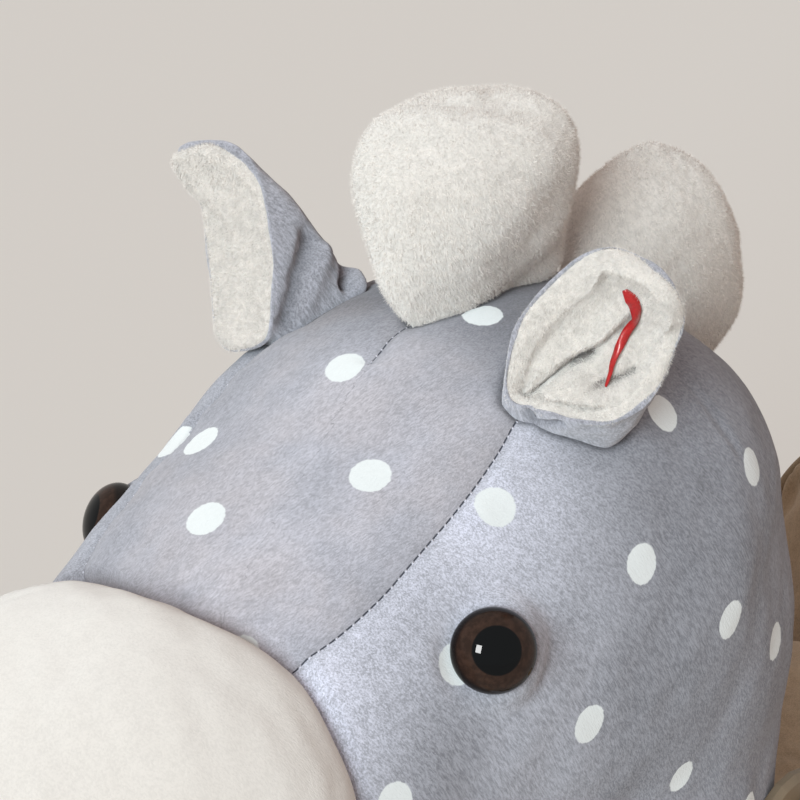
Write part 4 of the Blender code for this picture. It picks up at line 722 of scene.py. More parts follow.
def apply_modifiers(obj):
    """Replace the object's mesh by what its modifiers make of it."""
    evaluated = obj.evaluated_get(bpy.context.evaluated_depsgraph_get())
    mesh = bpy.data.meshes.new_from_object(evaluated)
    old = obj.data
    obj.modifiers.clear()
    obj.data = mesh
    bpy.data.meshes.remove(old)
    mesh.polygons.foreach_set("use_smooth", np.ones(len(mesh.polygons), bool))
    mesh.update()


def subdivide(obj, levels=1):
    """Split every face in four, levels times, smoothly."""
    modifier = obj.modifiers.new("subdivide", "SUBSURF")
    modifier.levels = modifier.render_levels = levels
    apply_modifiers(obj)


def remesh(obj, voxel):
    """Even four-sided faces all over, as one skin."""
    modifier = obj.modifiers.new("even", "REMESH")
    modifier.mode = "VOXEL"
    modifier.voxel_size = voxel
    apply_modifiers(obj)


def inflate(obj, voxel, pressure, cap, held):
    """Blow a pad up as cloth, with some points held, and none going further than the cap."""
    remesh(obj, voxel)
    before = vertices(obj)
    seam = obj.vertex_groups.new(name="seam")
    for index in np.flatnonzero(held(before)):
        seam.add([int(index)], 1.0, "REPLACE")
    cloth = obj.modifiers.new("filling", "CLOTH").settings
    cloth.vertex_group_mass = "seam"
    cloth.use_pressure = True
    cloth.uniform_pressure_force = pressure
    cloth.effector_weights.gravity = 0.0
    cloth.shrink_min = CLOTH_SHRINK
    for step in range(1, CLOTH_STEPS + 1):
        bpy.context.scene.frame_set(step)
    apply_modifiers(obj)
    bpy.context.scene.frame_set(1)
    move = vertices(obj) - before
    length = np.maximum(np.linalg.norm(move, axis=1, keepdims=True), 1e-9)
    set_vertices(obj, before + move * np.minimum(1.0, cap / length))
    subdivide(obj)


def cord(name, line, radius, material):
    """Piping: a round cord sewn along a closed line."""
    ahead = unit(np.roll(line, -1, 0) - np.roll(line, 1, 0))
    aside = unit(np.cross(ahead, (0.3, 0.2, 1.0)))
    above = np.cross(ahead, aside)
    turn = np.linspace(0, 2 * math.pi, 12, endpoint=False)
    rings = (line[:, None] + radius * (np.cos(turn)[:, None] * aside[:, None]
                                       + np.sin(turn)[:, None] * above[:, None]))
    return dress(closed_band(name, rings), material)


def evened(line, spacing):
    """Evenly spaced points round a closed line."""
    closed = np.concatenate([line, line[:1]])
    length = run_along(closed)[-1]
    return line_at(closed, np.linspace(0, length, round(length / spacing), endpoint=False))


def relax(obj, rounds, share=0.5):
    """Move each vertex towards the middle of its neighbours."""
    edges = np.empty(len(obj.data.edges) * 2, np.int32)
    obj.data.edges.foreach_get("vertices", edges)
    a, b = edges.reshape(-1, 2).T
    points = vertices(obj)
    degree = np.bincount(a, minlength=len(points)) + np.bincount(b, minlength=len(points))
    for _ in range(rounds):
        total = np.zeros_like(points)
        np.add.at(total, a, points[b])
        np.add.at(total, b, points[a])
        points += (total / degree[:, None] - points) * share
    set_vertices(obj, points)


def slopes(field, points, step):
    """How fast a field grows along X, Y and Z at each point."""
    rise = [field(points + offset) - field(points - offset) for offset in np.eye(3) * step]
    return np.stack(rise, -1) / (2 * step)


def settle(points, field, rounds=3):
    """Move points straight onto the surface where a field is 0."""
    points = points.copy()
    for _ in range(rounds):
        value = field(points)
        slope = slopes(field, points, SLOPE_STEP)
        move = value[:, None] * slope / np.maximum((slope ** 2).sum(1), FLATTEST)[:, None]
        length = np.linalg.norm(move, axis=1, keepdims=True)
        points -= move * np.minimum(1.0, SETTLE_REACH / np.maximum(length, 1e-9))
    return points


def curve_between(p0, p1, p2, p3, t):
    """Points from p1 to p2 on the smooth curve through four knots."""
    return 0.5 * (2 * p1 + (p2 - p0) * t + (2 * p0 - 5 * p1 + 4 * p2 - p3) * t ** 2
                  + (3 * p1 - p0 - 3 * p2 + p3) * t ** 3)


def smooth_line(knots, steps=30):
    """Points on the smooth open curve through some knots."""
    knots = np.array(knots, float)
    padded = np.concatenate([2 * knots[:1] - knots[1:2], knots, 2 * knots[-1:] - knots[-2:-1]])
    t = np.linspace(0, 1, steps, endpoint=False)[:, None]
    pieces = [curve_between(*padded[k:k + 4], t) for k in range(len(knots) - 1)]
    return np.concatenate(pieces + [knots[-1:]])


def run_along(line):
    """Distance of each point of a line from its start, along the line."""
    return np.concatenate([[0], np.cumsum(np.linalg.norm(np.diff(line, axis=0), axis=1))])


def line_at(line, distances):
    """Points of a line at some distances from its start, along the line."""
    run = run_along(line)
    return np.stack([np.interp(distances, run, column) for column in line.T], -1)


def crease(points, knots, depth, width):
    """How far a crease along the line through some knots pushes points in."""
    away = np.full(points.shape[:-1], np.inf)
    for start, end in zip(knots, knots[1:]):
        line = np.subtract(end, start)
        offset = points - start
        share = np.clip(offset @ line / (line @ line), 0, 1)
        away = np.minimum(away, np.linalg.norm(offset - share[..., None] * line, axis=-1))
    return bell(away, width, depth)


class Seam:
    """A sewn line on a skin, as points with the direction along it and across it."""

    def __init__(self, points_mm, field, spacing=0.0015, mirror=1):
        """Lay the line through some knots onto the surface where a field is 0."""
        knots = np.array(points_mm, float) * MM * (mirror, 1, 1)
        line = settle(smooth_line(knots), field)
        self.along = np.arange(0, run_along(line)[-1], spacing)
        self.points = line_at(line, self.along)
        self.tangents = unit(np.gradient(self.points, axis=0))
        outward = unit(slopes(field, self.points, SLOPE_STEP))
        self.across = unit(np.cross(self.tangents, outward))

    def measure(self, points):
        """Signed distance across the seam and distance along it, for each point."""
        gap = np.empty(len(points))
        along = np.empty(len(points))
        for start in range(0, len(points), 20000):
            some = points[start:start + 20000]
            squared = ((some[:, None, :] - self.points[None]) ** 2).sum(-1)
            nearest = squared.argmin(1)
            offset = some - self.points[nearest]
            forward = (offset * self.tangents[nearest]).sum(1)
            sideways = offset - self.tangents[nearest] * forward[:, None]
            side = np.sign((offset * self.across[nearest]).sum(1))
            gap[start:start + 20000] = side * np.linalg.norm(sideways, axis=1)
            along[start:start + 20000] = self.along[nearest] + forward
        return gap, along


def nearest_dot(points, dots_mm):
    """Distance of each point from the nearest dot's centre."""
    dots = np.array(dots_mm, float) * MM
    return np.sqrt(((points[:, None, :] - dots[None]) ** 2).sum(-1)).min(1)


def grid_dot(y, z, skip=()):
    """Distance from the nearest crossing of the print's grid, leaving out some crossings."""
    base = np.array([DOT_STEP_Y, DOT_STEP_Z]).T
    flat = np.stack([y, z], -1) - DOT_ORIGIN
    cell = np.round(flat @ np.linalg.inv(base).T)
    far = np.zeros(len(flat), bool)
    for row, column in skip:
        far |= (cell[:, 0] == row) & (cell[:, 1] == column)
    distance = np.linalg.norm(flat - cell @ base.T, axis=1)
    return np.where(far, 1.0, distance)


# Materials

class Shader:
    """A material under construction, with short ways to add and join its nodes."""

    def __init__(self, name):
        """Start a material of that name."""
        self.material = bpy.data.materials.new(name)
        self.material.use_nodes = True
        self.tree = self.material.node_tree
        self.principled = self.tree.nodes["Principled BSDF"]

    def put(self, socket, value):
        """Join a socket to a node's output, or set its own value."""
        if isinstance(value, bpy.types.NodeSocket):
            self.tree.links.new(value, socket)
        elif isinstance(value, tuple) and len(value) == 3 and len(socket.default_value) == 4:
            socket.default_value = (*value, 1.0)
        else:
            socket.default_value = value

    def node(self, kind, inputs=(), **settings):
        """Add a node; inputs is a dict of sockets by name or number."""
        node = self.tree.nodes.new("ShaderNode" + kind)
        for key, value in settings.items():
            setattr(node, key, value)
        for key, value in dict(inputs).items():
            self.put(node.inputs[key], value)
        return node

    def value(self, name):
        """A number kept for each vertex."""
        return self.node("Attribute", attribute_name=name).outputs["Fac"]

    def place(self):
        """The point on the object."""
        return self.node("TexCoord").outputs["Object"]

    def math(self, operation, a, b=0.0, c=0.0):
        """A sum, product or other operation on numbers or outputs."""
        return self.node("Math", {0: a, 1: b, 2: c}, operation=operation).outputs[0]

    def ramp(self, value, low, high, start=0.0, end=1.0):
        """A smooth rise from start to end as the value goes from low to high."""
        return self.node("MapRange", {"Value": value, "From Min": low, "From Max": high,
                                      "To Min": start, "To Max": end},
                         interpolation_type="SMOOTHSTEP").outputs["Result"]

    def drawn_out(self, place, direction, share):
        """The place with lengths along a direction cut to a share, so noise is drawn out there."""
        direction = tuple(unit(np.array(direction, float)))
        along = self.node("VectorMath", {0: place, 1: direction},
                          operation="DOT_PRODUCT").outputs["Value"]
        less = self.math("MULTIPLY", along, share - 1)
        shift = self.node("VectorMath", {0: direction, "Scale": less},
                          operation="SCALE").outputs["Vector"]
        return self.node("VectorMath", {0: place, 1: shift}, operation="ADD").outputs["Vector"]

    def noise(self, place, scale, detail=2.0, roughness=0.5):
        """Noise from 0 to 1 with features of about 1 / scale."""
        return self.node("TexNoise", {"Vector": place, "Scale": scale, "Detail": detail,
                                      "Roughness": roughness}).outputs["Fac"]

    def mix(self, share, a, b, blend="MIX"):
        """Blend two colours."""
        node = self.node("Mix", data_type="RGBA", blend_type=blend)
        self.put(node.inputs["Factor"], share)
        self.put(node.inputs["A"], a)
        self.put(node.inputs["B"], b)
        return node.outputs["Result"]

    def bump(self, height, distance, strength=1.0, below=None):
        """A bump of that many metres."""
        inputs = {"Height": height, "Distance": distance, "Strength": strength}
        if below is not None:
            inputs["Normal"] = below
        return self.node("Bump", inputs).outputs["Normal"]

    def finish(self, **sockets):
        """Set the Principled shader's sockets by name, with _ for a space."""
        for key, value in sockets.items():
            self.put(self.principled.inputs[key.replace("_", " ")], value)
        return self.material


# Noise of the materials: scale, detail and roughness
PLUSH_PATCHES = (45.0, 3.0, 0.6)
PRINT_PATCHES = (62.0, 3.0, 0.62)
PRINT_SMUDGES = (24.0, 3.0, 0.6)
DOT_EDGE = (700.0, 2.0)
FLEECE_PATCHES = (22.0, 3.0, 0.55)
PILE_TUFTS = (420.0, 2.0, 0.6)
WOOD_GRAIN = (60.0, 6.0, 0.6)
WOOD_LINES = (380.0, 3.0, 0.6)
WOOD_PORES = (1300.0, 2.0, 0.5)
MOULD_SKIN = (1.0 / 0.0006, 2.0, 0.5)
MOULD_WEAR = (60.0, 4.0, 0.6)
TURNING_MARKS = (500.0, 3.0, 0.6)
IRIS_FIBRE = (420.0, 3.0, 0.6)
SATIN_WEAVE = (2200.0, 1.0, 0.5)

# How high the materials' bumps are
PILE_BUMP = 0.00030
WOOD_BUMP = 0.00012
MOULD_BUMP = 0.00004
STEEL_BUMP = 0.00003
SATIN_BUMP = 0.00008

# The ways the pile lies: on plain plush, on the head's top and on its sides
PLAIN_LIE = (0.1, 0.5, -0.85)
TOP_LIE = (0.30, 0.85, 0.45)
SIDE_LIE = (0.05, 0.55, -0.83)
PATCH_LIE = (0.2, 0.8, 0.4)
FLEECE_LIE = (0.3, 0.3, -0.9)

# Streaks of the pile on the head's top and sides: their width, and how far they are drawn out
TOP_STREAKS = (0.00042, 0.30)
SIDE_STREAKS = (0.00050, 0.16)
PANEL_EDGE = 0.0002             # half width of the change between the two panels


def shaded(colour, factor):
    """A colour made lighter or darker."""
    return tuple(min(c * factor, 1.0) for c in colour)


def nap(shader, place, lie, width, share=0.16):
    """Brushed pile: fine streaks along the way it lies, with tufts and specks, from 0 to 1."""
    streaks = shader.noise(shader.drawn_out(place, lie, share), 1.0 / width, 2.0, 0.65)
    tufts = shader.noise(shader.drawn_out(place, lie, 0.45), 0.28 / width, 2.0, 0.6)
    specks = shader.noise(place, 1.5 / width, 1.0, 0.6)
    both = shader.math("MULTIPLY_ADD", streaks, 0.55, shader.math("MULTIPLY", tufts, 0.20))
    return shader.math("MULTIPLY_ADD", specks, 0.25, both)


def plush_material(name, colour, width=0.0005, contrast=0.16):
    """Short plain pile: streaky nap, soft lighter and darker patches, painted shade in creases and
    grooves, and a sheen.
    """
    shader = Shader(name)
    place = shader.place()
    fine = nap(shader, place, PLAIN_LIE, width)
    patches = shader.noise(place, *PLUSH_PATCHES)
    tone = shader.mix(shader.ramp(fine, 0.36, 0.64), shaded(colour, 1 - contrast),
                      shaded(colour, 1 + contrast))
    tone = shader.mix(shader.ramp(patches, 0.35, 0.70, 0.0, 0.22), tone, shaded(colour, 1.35))
    tone = shader.mix(shader.ramp(patches, 0.30, 0.45, 0.20, 0.0), tone, shaded(colour, 0.62))
    # Painted shade in creases and along the grooves where other pieces stand on the pile
    pressed_and_painted_shade = shader.math("MULTIPLY", shader.value("pressed_and_painted_shade"), PRESSED_PAINTED_SHADE)
    tone = shader.mix(pressed_and_painted_shade, tone, shaded(colour, 0.10))
    return shader.finish(Base_Color=tone, Roughness=0.92, Normal=shader.bump(fine, PILE_BUMP),
                         Sheen_Weight=0.25, Sheen_Roughness=0.45, Specular_IOR_Level=0.12,
                         Diffuse_Roughness=1.0)


def stitching(shader, name):
    """Shares of soft shade, dark stitch and pulled bright speck along a sewn line.

    The vertex values NAME_gap and NAME_run hold the distances across it and along it.
    """
    gap = shader.value(name + "_gap")
    slant = shader.math("MULTIPLY_ADD", gap, STITCH_SLANT, shader.value(name + "_run"))
    run = shader.math("FRACT", shader.math("DIVIDE", slant, STITCH_PITCH))
    away = shader.math("ABSOLUTE", gap)
    thread = shader.ramp(away, STITCH_WIDTH * 0.4, STITCH_WIDTH, 1.0, 0.0)
    between = shader.math("ABSOLUTE", shader.math("SUBTRACT", run, 0.5))
    dash = shader.math("MULTIPLY", thread, shader.ramp(between, 0.30, 0.40, 1.0, 0.0))
    dash = shader.math("MULTIPLY", dash, shader.math("SUBTRACT", 1.0, shader.value(name + "_sunk")))
    beside = shader.math("ABSOLUTE", shader.math("SUBTRACT", gap, STITCH_WIDTH * 0.8))
    speck = shader.math("MULTIPLY", shader.ramp(beside, STITCH_WIDTH * 0.4, STITCH_WIDTH, 1.0, 0.0),
                        shader.ramp(between, 0.38, 0.46))
    shade = shader.ramp(away, STITCH_WIDTH, *SEAM_SHADE, 0.0)
    return shade, dash, speck


def dotted_lift(shader, place, side, fine, smudges):
    """How much lighter or darker the grey pile is from place to place, around 1, with painted shade
    where it faces the rear and along the grooves where other pieces stand on it.
    """
    contrast = shader.ramp(side, 0.0, 1.0, 0.19, 0.27)
    patches = shader.noise(shader.drawn_out(place, PATCH_LIE, 0.5), *PRINT_PATCHES)
    lift = shader.math("MULTIPLY_ADD", shader.ramp(fine, 0.36, 0.64, -1.0, 1.0), contrast, 1.0)
    lift = shader.math("MULTIPLY_ADD", shader.ramp(patches, 0.3, 0.7, -1.0, 1.0), 0.055, lift)
    lift = shader.math("MULTIPLY_ADD", shader.ramp(smudges, 0.3, 0.7, -1.0, 1.0), 0.045, lift)
    # Painted shade: darker where the pile faces the rear or the right, and along grooves
    for name, shade in (("rear_and_right_painted_shade", REAR_PAINTED_SHADE), ("pressed_and_painted_shade", PRESSED_PAINTED_SHADE)):
        kept = shader.math("MULTIPLY_ADD", shader.value(name), -shade, 1.0)
        lift = shader.math("MULTIPLY", lift, kept)
    return lift


def dotted_material(name, seams):
    """Grey pile with printed white dots and sewn seams, both read from vertex values."""
    shader = Shader(name)
    place = shader.place()
    side = shader.ramp(shader.value("panel_gap"), -PANEL_EDGE, PANEL_EDGE)
    fine = shader.node("Mix", {"Factor": side, "A": nap(shader, place, TOP_LIE, *TOP_STREAKS),
                               "B": nap(shader, place, SIDE_LIE, *SIDE_STREAKS)}).outputs["Result"]
    smudges = shader.noise(place, *PRINT_SMUDGES)
    lift = dotted_lift(shader, place, side, fine, smudges)
    base = shader.mix(shader.ramp(smudges, 0.4, 0.7), GREY_PLUSH, GREY_PLUSH_WARM)
    base = shader.mix(side, base, GREY_PLUSH_SIDE)
    tone = shader.node("VectorMath", {0: base, "Scale": lift}, operation="SCALE").outputs["Vector"]
    ragged = shader.math("MULTIPLY_ADD", shader.noise(place, *DOT_EDGE), DOT_RAGGED,
                         -DOT_RAGGED / 2)
    reach = shader.math("ADD", shader.value("dot_gap"), ragged)
    dot = shader.ramp(reach, DOT_RADIUS - DOT_SOFT, DOT_RADIUS + DOT_SOFT, 1.0, 0.0)
    print_tone = shader.mix(shader.ramp(fine, 0.3, 0.7), shaded(DOT_WHITE, 0.95), DOT_WHITE)
    tone = shader.mix(dot, tone, print_tone)
    bumped = shader.bump(fine, PILE_BUMP)
    for seam in seams:
        shade, dash, speck = stitching(shader, seam)
        tone = shader.mix(shade, tone, shaded(GREY_PLUSH, 0.40))
        tone = shader.mix(speck, tone, shaded(GREY_PLUSH, 1.50))
        tone = shader.mix(dash, tone, THREAD_DARK)
        bumped = shader.bump(shader.math("SUBTRACT", speck, dash), PILE_BUMP, 0.8, bumped)
    return shader.finish(Base_Color=tone, Roughness=0.90, Normal=bumped, Sheen_Weight=0.08,
                         Sheen_Roughness=0.40, Specular_IOR_Level=0.12, Diffuse_Roughness=1.0)


def fleece_material(name, curl, contrast, bump):
    """Cream fleece with painted shade in its creases; curl is the size of its crimps."""
    shader = Shader(name)
    place = shader.place()
    curls = shader.noise(shader.drawn_out(place, FLEECE_LIE, 0.5), 1.0 / curl, 3.0, 0.62)
    clumps = shader.noise(place, 0.27 / curl, 2.0, 0.5)
    patches = shader.noise(place, *FLEECE_PATCHES)
    fine = shader.math("MULTIPLY_ADD", curls, 0.72, shader.math("MULTIPLY", clumps, 0.28))
    tone = shader.mix(shader.ramp(fine, 0.34, 0.62), shaded(CREAM_PLUSH, 1 - contrast), CREAM_PLUSH)
    tone = shader.mix(shader.ramp(patches, 0.35, 0.7, 0.0, 0.08), tone, FLEECE_SHADE)
    # Painted shade in the ears' creases
    tone = shader.mix(shader.ramp(shader.value("pressed_and_painted_shade"), 0.15, 1.0, 0.0, 0.85), tone, FOLD_PAINTED_SHADE)
    return shader.finish(Base_Color=tone, Roughness=0.95, Normal=shader.bump(fine, bump),
                         Sheen_Weight=0.30, Sheen_Roughness=0.5, Specular_IOR_Level=0.10,
                         Diffuse_Roughness=1.0)


def pile_material():
    """Single fibres of the cream fleece."""
    shader = Shader("cream_pile")
    tufts = shader.noise(shader.place(), *PILE_TUFTS)
    tone = shader.mix(shader.ramp(tufts, 0.34, 0.66), shaded(CREAM_PLUSH, 0.96),
                      shaded(CREAM_PLUSH, 1.12))
    return shader.finish(Base_Color=tone, Roughness=0.95, Specular_IOR_Level=0.10,
                         Sheen_Weight=0.20, Sheen_Roughness=0.5, Diffuse_Roughness=1.0)


def wood_material(name, pale, dark, along, gloss=0.42):
    """Fine-grained wood: drawn-out rings, pores and a thin varnish."""
    shader = Shader(name)
    place = shader.place()
    drawn = shader.drawn_out(place, along, 0.08)
    grain = shader.noise(drawn, *WOOD_GRAIN)
    lines = shader.noise(drawn, *WOOD_LINES)
    pores = shader.noise(drawn, *WOOD_PORES)
    tone = shader.mix(shader.ramp(grain, 0.35, 0.65), dark, pale)
    tone = shader.mix(shader.ramp(lines, 0.45, 0.62, 0.0, 0.35), tone, shaded(dark, 0.8))
    tone = shader.mix(shader.ramp(pores, 0.60, 0.70, 0.0, 0.45), tone, shaded(dark, 0.5))
    bumped = shader.bump(shader.math("ADD", lines, pores), WOOD_BUMP)
    rough = shader.ramp(pores, 0.4, 0.7, gloss, gloss + 0.2)
    return shader.finish(Base_Color=tone, Roughness=rough, Normal=bumped, Coat_Weight=0.15,
                         Coat_Roughness=0.25)


def moulded_material(name, colour, roughness):
    """Moulded plastic or rubber with a fine spark-eroded skin."""
    shader = Shader(name)
    place = shader.place()
    skin = shader.noise(place, *MOULD_SKIN)
    wear = shader.noise(place, *MOULD_WEAR)
    tone = shader.mix(shader.ramp(wear, 0.4, 0.7), colour, shaded(colour, 1.15))
    rough = shader.ramp(wear, 0.3, 0.7, roughness - 0.06, roughness + 0.08)
    return shader.finish(Base_Color=tone, Roughness=rough, Normal=shader.bump(skin, MOULD_BUMP))


def steel_material():
    """Zinc-plated steel with fine turning marks."""
    shader = Shader("plated_steel")
    place = shader.place()
    marks = shader.noise(shader.drawn_out(place, (0, 0, 1), 6.0), *TURNING_MARKS)
    tone = shader.mix(shader.ramp(marks, 0.3, 0.7), *STEEL)
    rough = shader.ramp(marks, 0.3, 0.7, 0.24, 0.42)
    return shader.finish(Base_Color=tone, Roughness=rough, Metallic=1.0,
                         Normal=shader.bump(marks, STEEL_BUMP))


def eye_material():
    """Brown iris with a black pupil under a glossy dome, by distance from the eye's middle."""
    shader = Shader("eye_gloss")
    reach = shader.value("eye_reach")
    fibre = shader.noise(shader.place(), *IRIS_FIBRE)
    iris = shader.mix(shader.ramp(fibre, 0.35, 0.7), shaded(IRIS_BROWN, 0.75),
                      shaded(IRIS_BROWN, 1.35))
    tone = shader.mix(shader.ramp(reach, *PUPIL_EDGE), PUPIL_BLACK, iris)
    tone = shader.mix(shader.ramp(reach, *IRIS_EDGE), tone, RIM_BLACK)
    return shader.finish(Base_Color=tone, Roughness=0.6, Coat_Weight=0.7, Coat_Roughness=0.02,
                         Coat_IOR=1.33, Specular_IOR_Level=0.0)


def label_material():
    """Glossy red satin tape."""
    shader = Shader("label_satin")
    place = shader.place()
    weave = shader.noise(place, *SATIN_WEAVE)
    tone = shader.mix(shader.ramp(weave, 0.35, 0.65), shaded(LABEL_RED, 0.8), LABEL_RED)
    return shader.finish(Base_Color=tone, Roughness=0.28, Normal=shader.bump(weave, SATIN_BUMP),
                         Coat_Weight=0.5, Coat_Roughness=0.12)


DOTTED = dotted_material("dotted_plush", ("seam",))
HEAD_DOTTED = dotted_material("dotted_head_plush", ("seam", "dart"))
CREAM = fleece_material("cream_fleece", curl=0.0008, contrast=0.17, bump=0.00055)
MUZZLE_CREAM = fleece_material("cream_muzzle_fleece", curl=0.0007, contrast=0.07, bump=0.00022)
PILE = pile_material()
GREY = plush_material("grey_plush_plain", shaded(GREY_PLUSH, 0.84), width=0.0006, contrast=0.30)
TAUPE = plush_material("taupe_plush", TAUPE_PLUSH, contrast=0.20)
TAUPE_CORD = plush_material("taupe_piping", shaded(TAUPE_PLUSH, 0.82), width=0.0004)


def dress(obj, material, nodes=(), body="horse"):
    """Give a piece its material, and say what it rides on and stands for."""
    obj.data.materials.clear()
    obj.data.materials.append(material)
    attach(obj, body)
    if nodes:
        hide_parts(*nodes)
    return obj


# Head and neck

def neck_section(z):
    """Middle along Y, half width and half length of the neck at height z."""
    torso_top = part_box("torso")[1].z
    low = NECK_RISES_FROM + (torso_top - NECK_RISES_FROM) * NECK_FOOT_SHARE
    high = HEAD.base + HEAD.depth * NECK_HEAD_SHARE
    middle_y = HEAD.front + HEAD.length - NECK_BEHIND - NECK_LENGTH / 2
    share = (z - low) / (high - low)
    y = middle_y + profile(NECK_SHARES, 1, share) * NECK_LENGTH
    half_width = profile(NECK_SHARES, 2, share) * NECK_WIDTH / 2
    half_length = profile(NECK_SHARES, 3, share) * NECK_LENGTH / 2
    return y, half_width, half_length


def neck_field(points):
    """About the distance outside the neck, negative inside."""
    y, half_width, half_length = neck_section(points[:, 2])
    n = ROUND_SQUARENESS
    reach = (abs(points[:, 0] / half_width) ** n
             + abs((points[:, 1] - y) / half_length) ** n) ** (1 / n)
    return (reach - 1) * half_width


def head_field(points):
    """Head and neck as one skin, with a soft hollow where they meet."""
    head = HEAD.field(points)
    neck = neck_field(points)
    neck = np.maximum(neck, points[:, 2] - (HEAD.base + HEAD.depth * NECK_HEAD_SHARE))
    near = np.maximum(NECK_BLEND - abs(head - neck), 0.0) / NECK_BLEND
    trim = sum(bell(points[:, 2] - height, spread, depth) for depth, height, spread in REAR_TRIMS)
    trim *= smooth_step(points[:, 1], *REAR_TRIM_Y)
    return np.minimum(head, neck) - near ** 2 * NECK_BLEND / 4 + trim


def muzzle_edge(x):
    """Where the muzzle's sewn edge lies along Y, at a distance from the midline."""
    point = bell(x, MUZZLE_EDGE_SPREAD, MUZZLE_EDGE_POINT)
    pull = bell(abs(x) - MUZZLE_CORNER_X, MUZZLE_CORNER_SPREAD, MUZZLE_CORNER_PULL)
    return MUZZLE_EDGE_Y - point + pull


def eye_seat(side):
    """Middle of an eye's flat back, and the way in which the eye looks."""
    turn, tilt = EYE_TURN[side], EYE_TILT[side]
    out = np.array([side * math.sin(turn) * math.cos(tilt), -math.cos(turn) * math.cos(tilt),
                    math.sin(tilt)])
    y, z = HEAD.front + EYE_FROM_FRONT, HEAD.base + EYE_ABOVE_BASE
    n = HEAD_SQUARENESS
    half_width, middle, half_depth = HEAD.section(np.array(y))
    x = half_width * (1 - abs((z - middle) / half_depth) ** n) ** (1 / n)
    place = np.array([side * (float(x) + EYE_STANDS_OUT), y, z]) - out * EYE_RIM
    return place + np.multiply(EYE_SHIFT[side], (side, 1, 1)), out


def seat_eyes(points):
    """The head's points, drawn up or down to the flat backs of both eyes."""
    points = points.copy()
    for side in SIDES.values():
        place, out = eye_seat(side)
        offset = points - place
        height = offset @ out
        reach = np.linalg.norm(offset - height[:, None] * out, axis=1)
        share = 1 - smooth_step(reach, *SEAT_REACH)
        share = share * (abs(height) < EYE_RADIUS)
        points += out * (-EYE_BACK_GAP - height)[:, None] * share[:, None]
    return points


def head_core():
    """Head and neck as one even skin; with its points, and how free each is from the held foot."""
    head = closed_rings("head_core", HEAD.rings(60, 96))
    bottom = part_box("neck")[0].z - NECK_TUCK
    z = np.linspace(bottom, HEAD.base + HEAD.depth * 0.45, 40)
    y, half_width, half_length = neck_section(z)
    neck = closed_rings("neck_core",
                        level_rings(0.0, y, z, half_width, half_length, ROUND_SQUARENESS, 96))
    count = len(head.data.vertices)
    faces = [tuple(p.vertices) for p in head.data.polygons]
    faces += [tuple(i + count for i in p.vertices) for p in neck.data.polygons]
    skin = new_object("head_skin", np.concatenate([vertices(head), vertices(neck)]), faces)
    bpy.data.objects.remove(head)
    bpy.data.objects.remove(neck)
    remesh(skin, HEAD_VOXEL)
    relax(skin, 4)
    points = vertices(skin)
    held = points[:, 2] < bottom + NECK_HELD
    moved = settle(points, head_field)
    moved[held] = points[held]
    set_vertices(skin, moved)
    subdivide(skin)
    points = vertices(skin)
    low, high = NECK_FREE
    free = smooth_step(points[:, 2], bottom + low, bottom + high)[:, None]
    points += (settle(points, head_field, 2) - points) * free
    set_vertices(skin, points)
    return skin, points, free


def head_seams(points):
    """For each point, the distances across and along its side seam, then those of the dart."""
    left = Seam(SIDE_SEAM_MM, head_field)
    right = Seam(SIDE_SEAM_MM, head_field, mirror=-1)
    left_gap, left_run = left.measure(points)
    right_gap, right_run = right.measure(points)
    dart_gap, dart_run = Seam(DART_MM, head_field).measure(points)
    near_left = points[:, 0] > 0
    panel = np.where(near_left, left_gap * side_sign(left), right_gap * side_sign(right))
    run = np.where(near_left, left_run, right_run)
    dart_end = DART_FADE * smooth_step(dart_run, DART_LENGTH - DART_CLOSING, DART_LENGTH)
    return panel, run, dart_gap + np.sign(dart_gap) * dart_end, dart_run


def head_lift(points, panel, run, dart_gap, dart_run):
    """How far the sewing, the muzzle's seat, the stuffing and the wrinkles push the skin out."""
    reach = np.minimum(abs(panel), abs(dart_gap))
    nearest_run = np.where(abs(panel) < abs(dart_gap), run, dart_run)
    lift = np.zeros(len(points))
    lift -= bell(reach, *SEAM_VALLEY) + bell(reach, *SEAM_GROOVE)
    pucker = waves(np.outer(nearest_run, (1, 0, 0)), PUCKER_SIZE, 5)
    lift += PUCKER_HEIGHT * pucker * bell(reach - PUCKER_AWAY, PUCKER_AWAY)
    edge_gap = points[:, 1] - muzzle_edge(points[:, 0])
    lift -= MUZZLE_SEAT_DEPTH * (1 - smooth_step(edge_gap, *MUZZLE_SEAT_EDGE))
    lift += lumps(points, HEAD_LUMPS)
    folded = points / MM
    folded[:, 0] = abs(folded[:, 0])
    for end in WRINKLE_ENDS_MM:
        lift -= crease(folded, (WRINKLE_START_MM, end), WRINKLE_DEPTH, WRINKLE_WIDTH_MM)
    return lift


def make_head():
    """Head and neck: panels sewn along four seams, with small puckers and soft dents."""
    skin, points, free = head_core()
    outward = normals(skin)
    panel, run, dart_gap, dart_run = head_seams(points)
    lift = head_lift(points, panel, run, dart_gap, dart_run)
    set_vertices(skin, seat_eyes(points + outward * lift[:, None] * free))
    near_left = points[:, 0] > 0
    # Painted shade: darker where the pile faces the rear, and on the right side and right cheek
    right_side = RIGHT_PAINTED_SHADE * smooth_step(-points[:, 0], *RIGHT_PAINTED_SHADE_FROM)
    paint_rear_shade(skin, outward, right_side + np.where(near_left | (panel < 0), 0.0, RIGHT_PAINTED_SHADE_CHEEK))
    values = {
        "panel_gap": panel, "seam_gap": panel, "seam_run": run,
        "seam_sunk": np.where(near_left, 0.0, SUNK_RIGHT),
        "dart_gap": dart_gap, "dart_run": dart_run, "dot_gap": head_dots(points, panel),
    }
    for name, numbers in values.items():
        set_value(skin, name, numbers)
    return dress(skin, HEAD_DOTTED, ("head", "neck"))


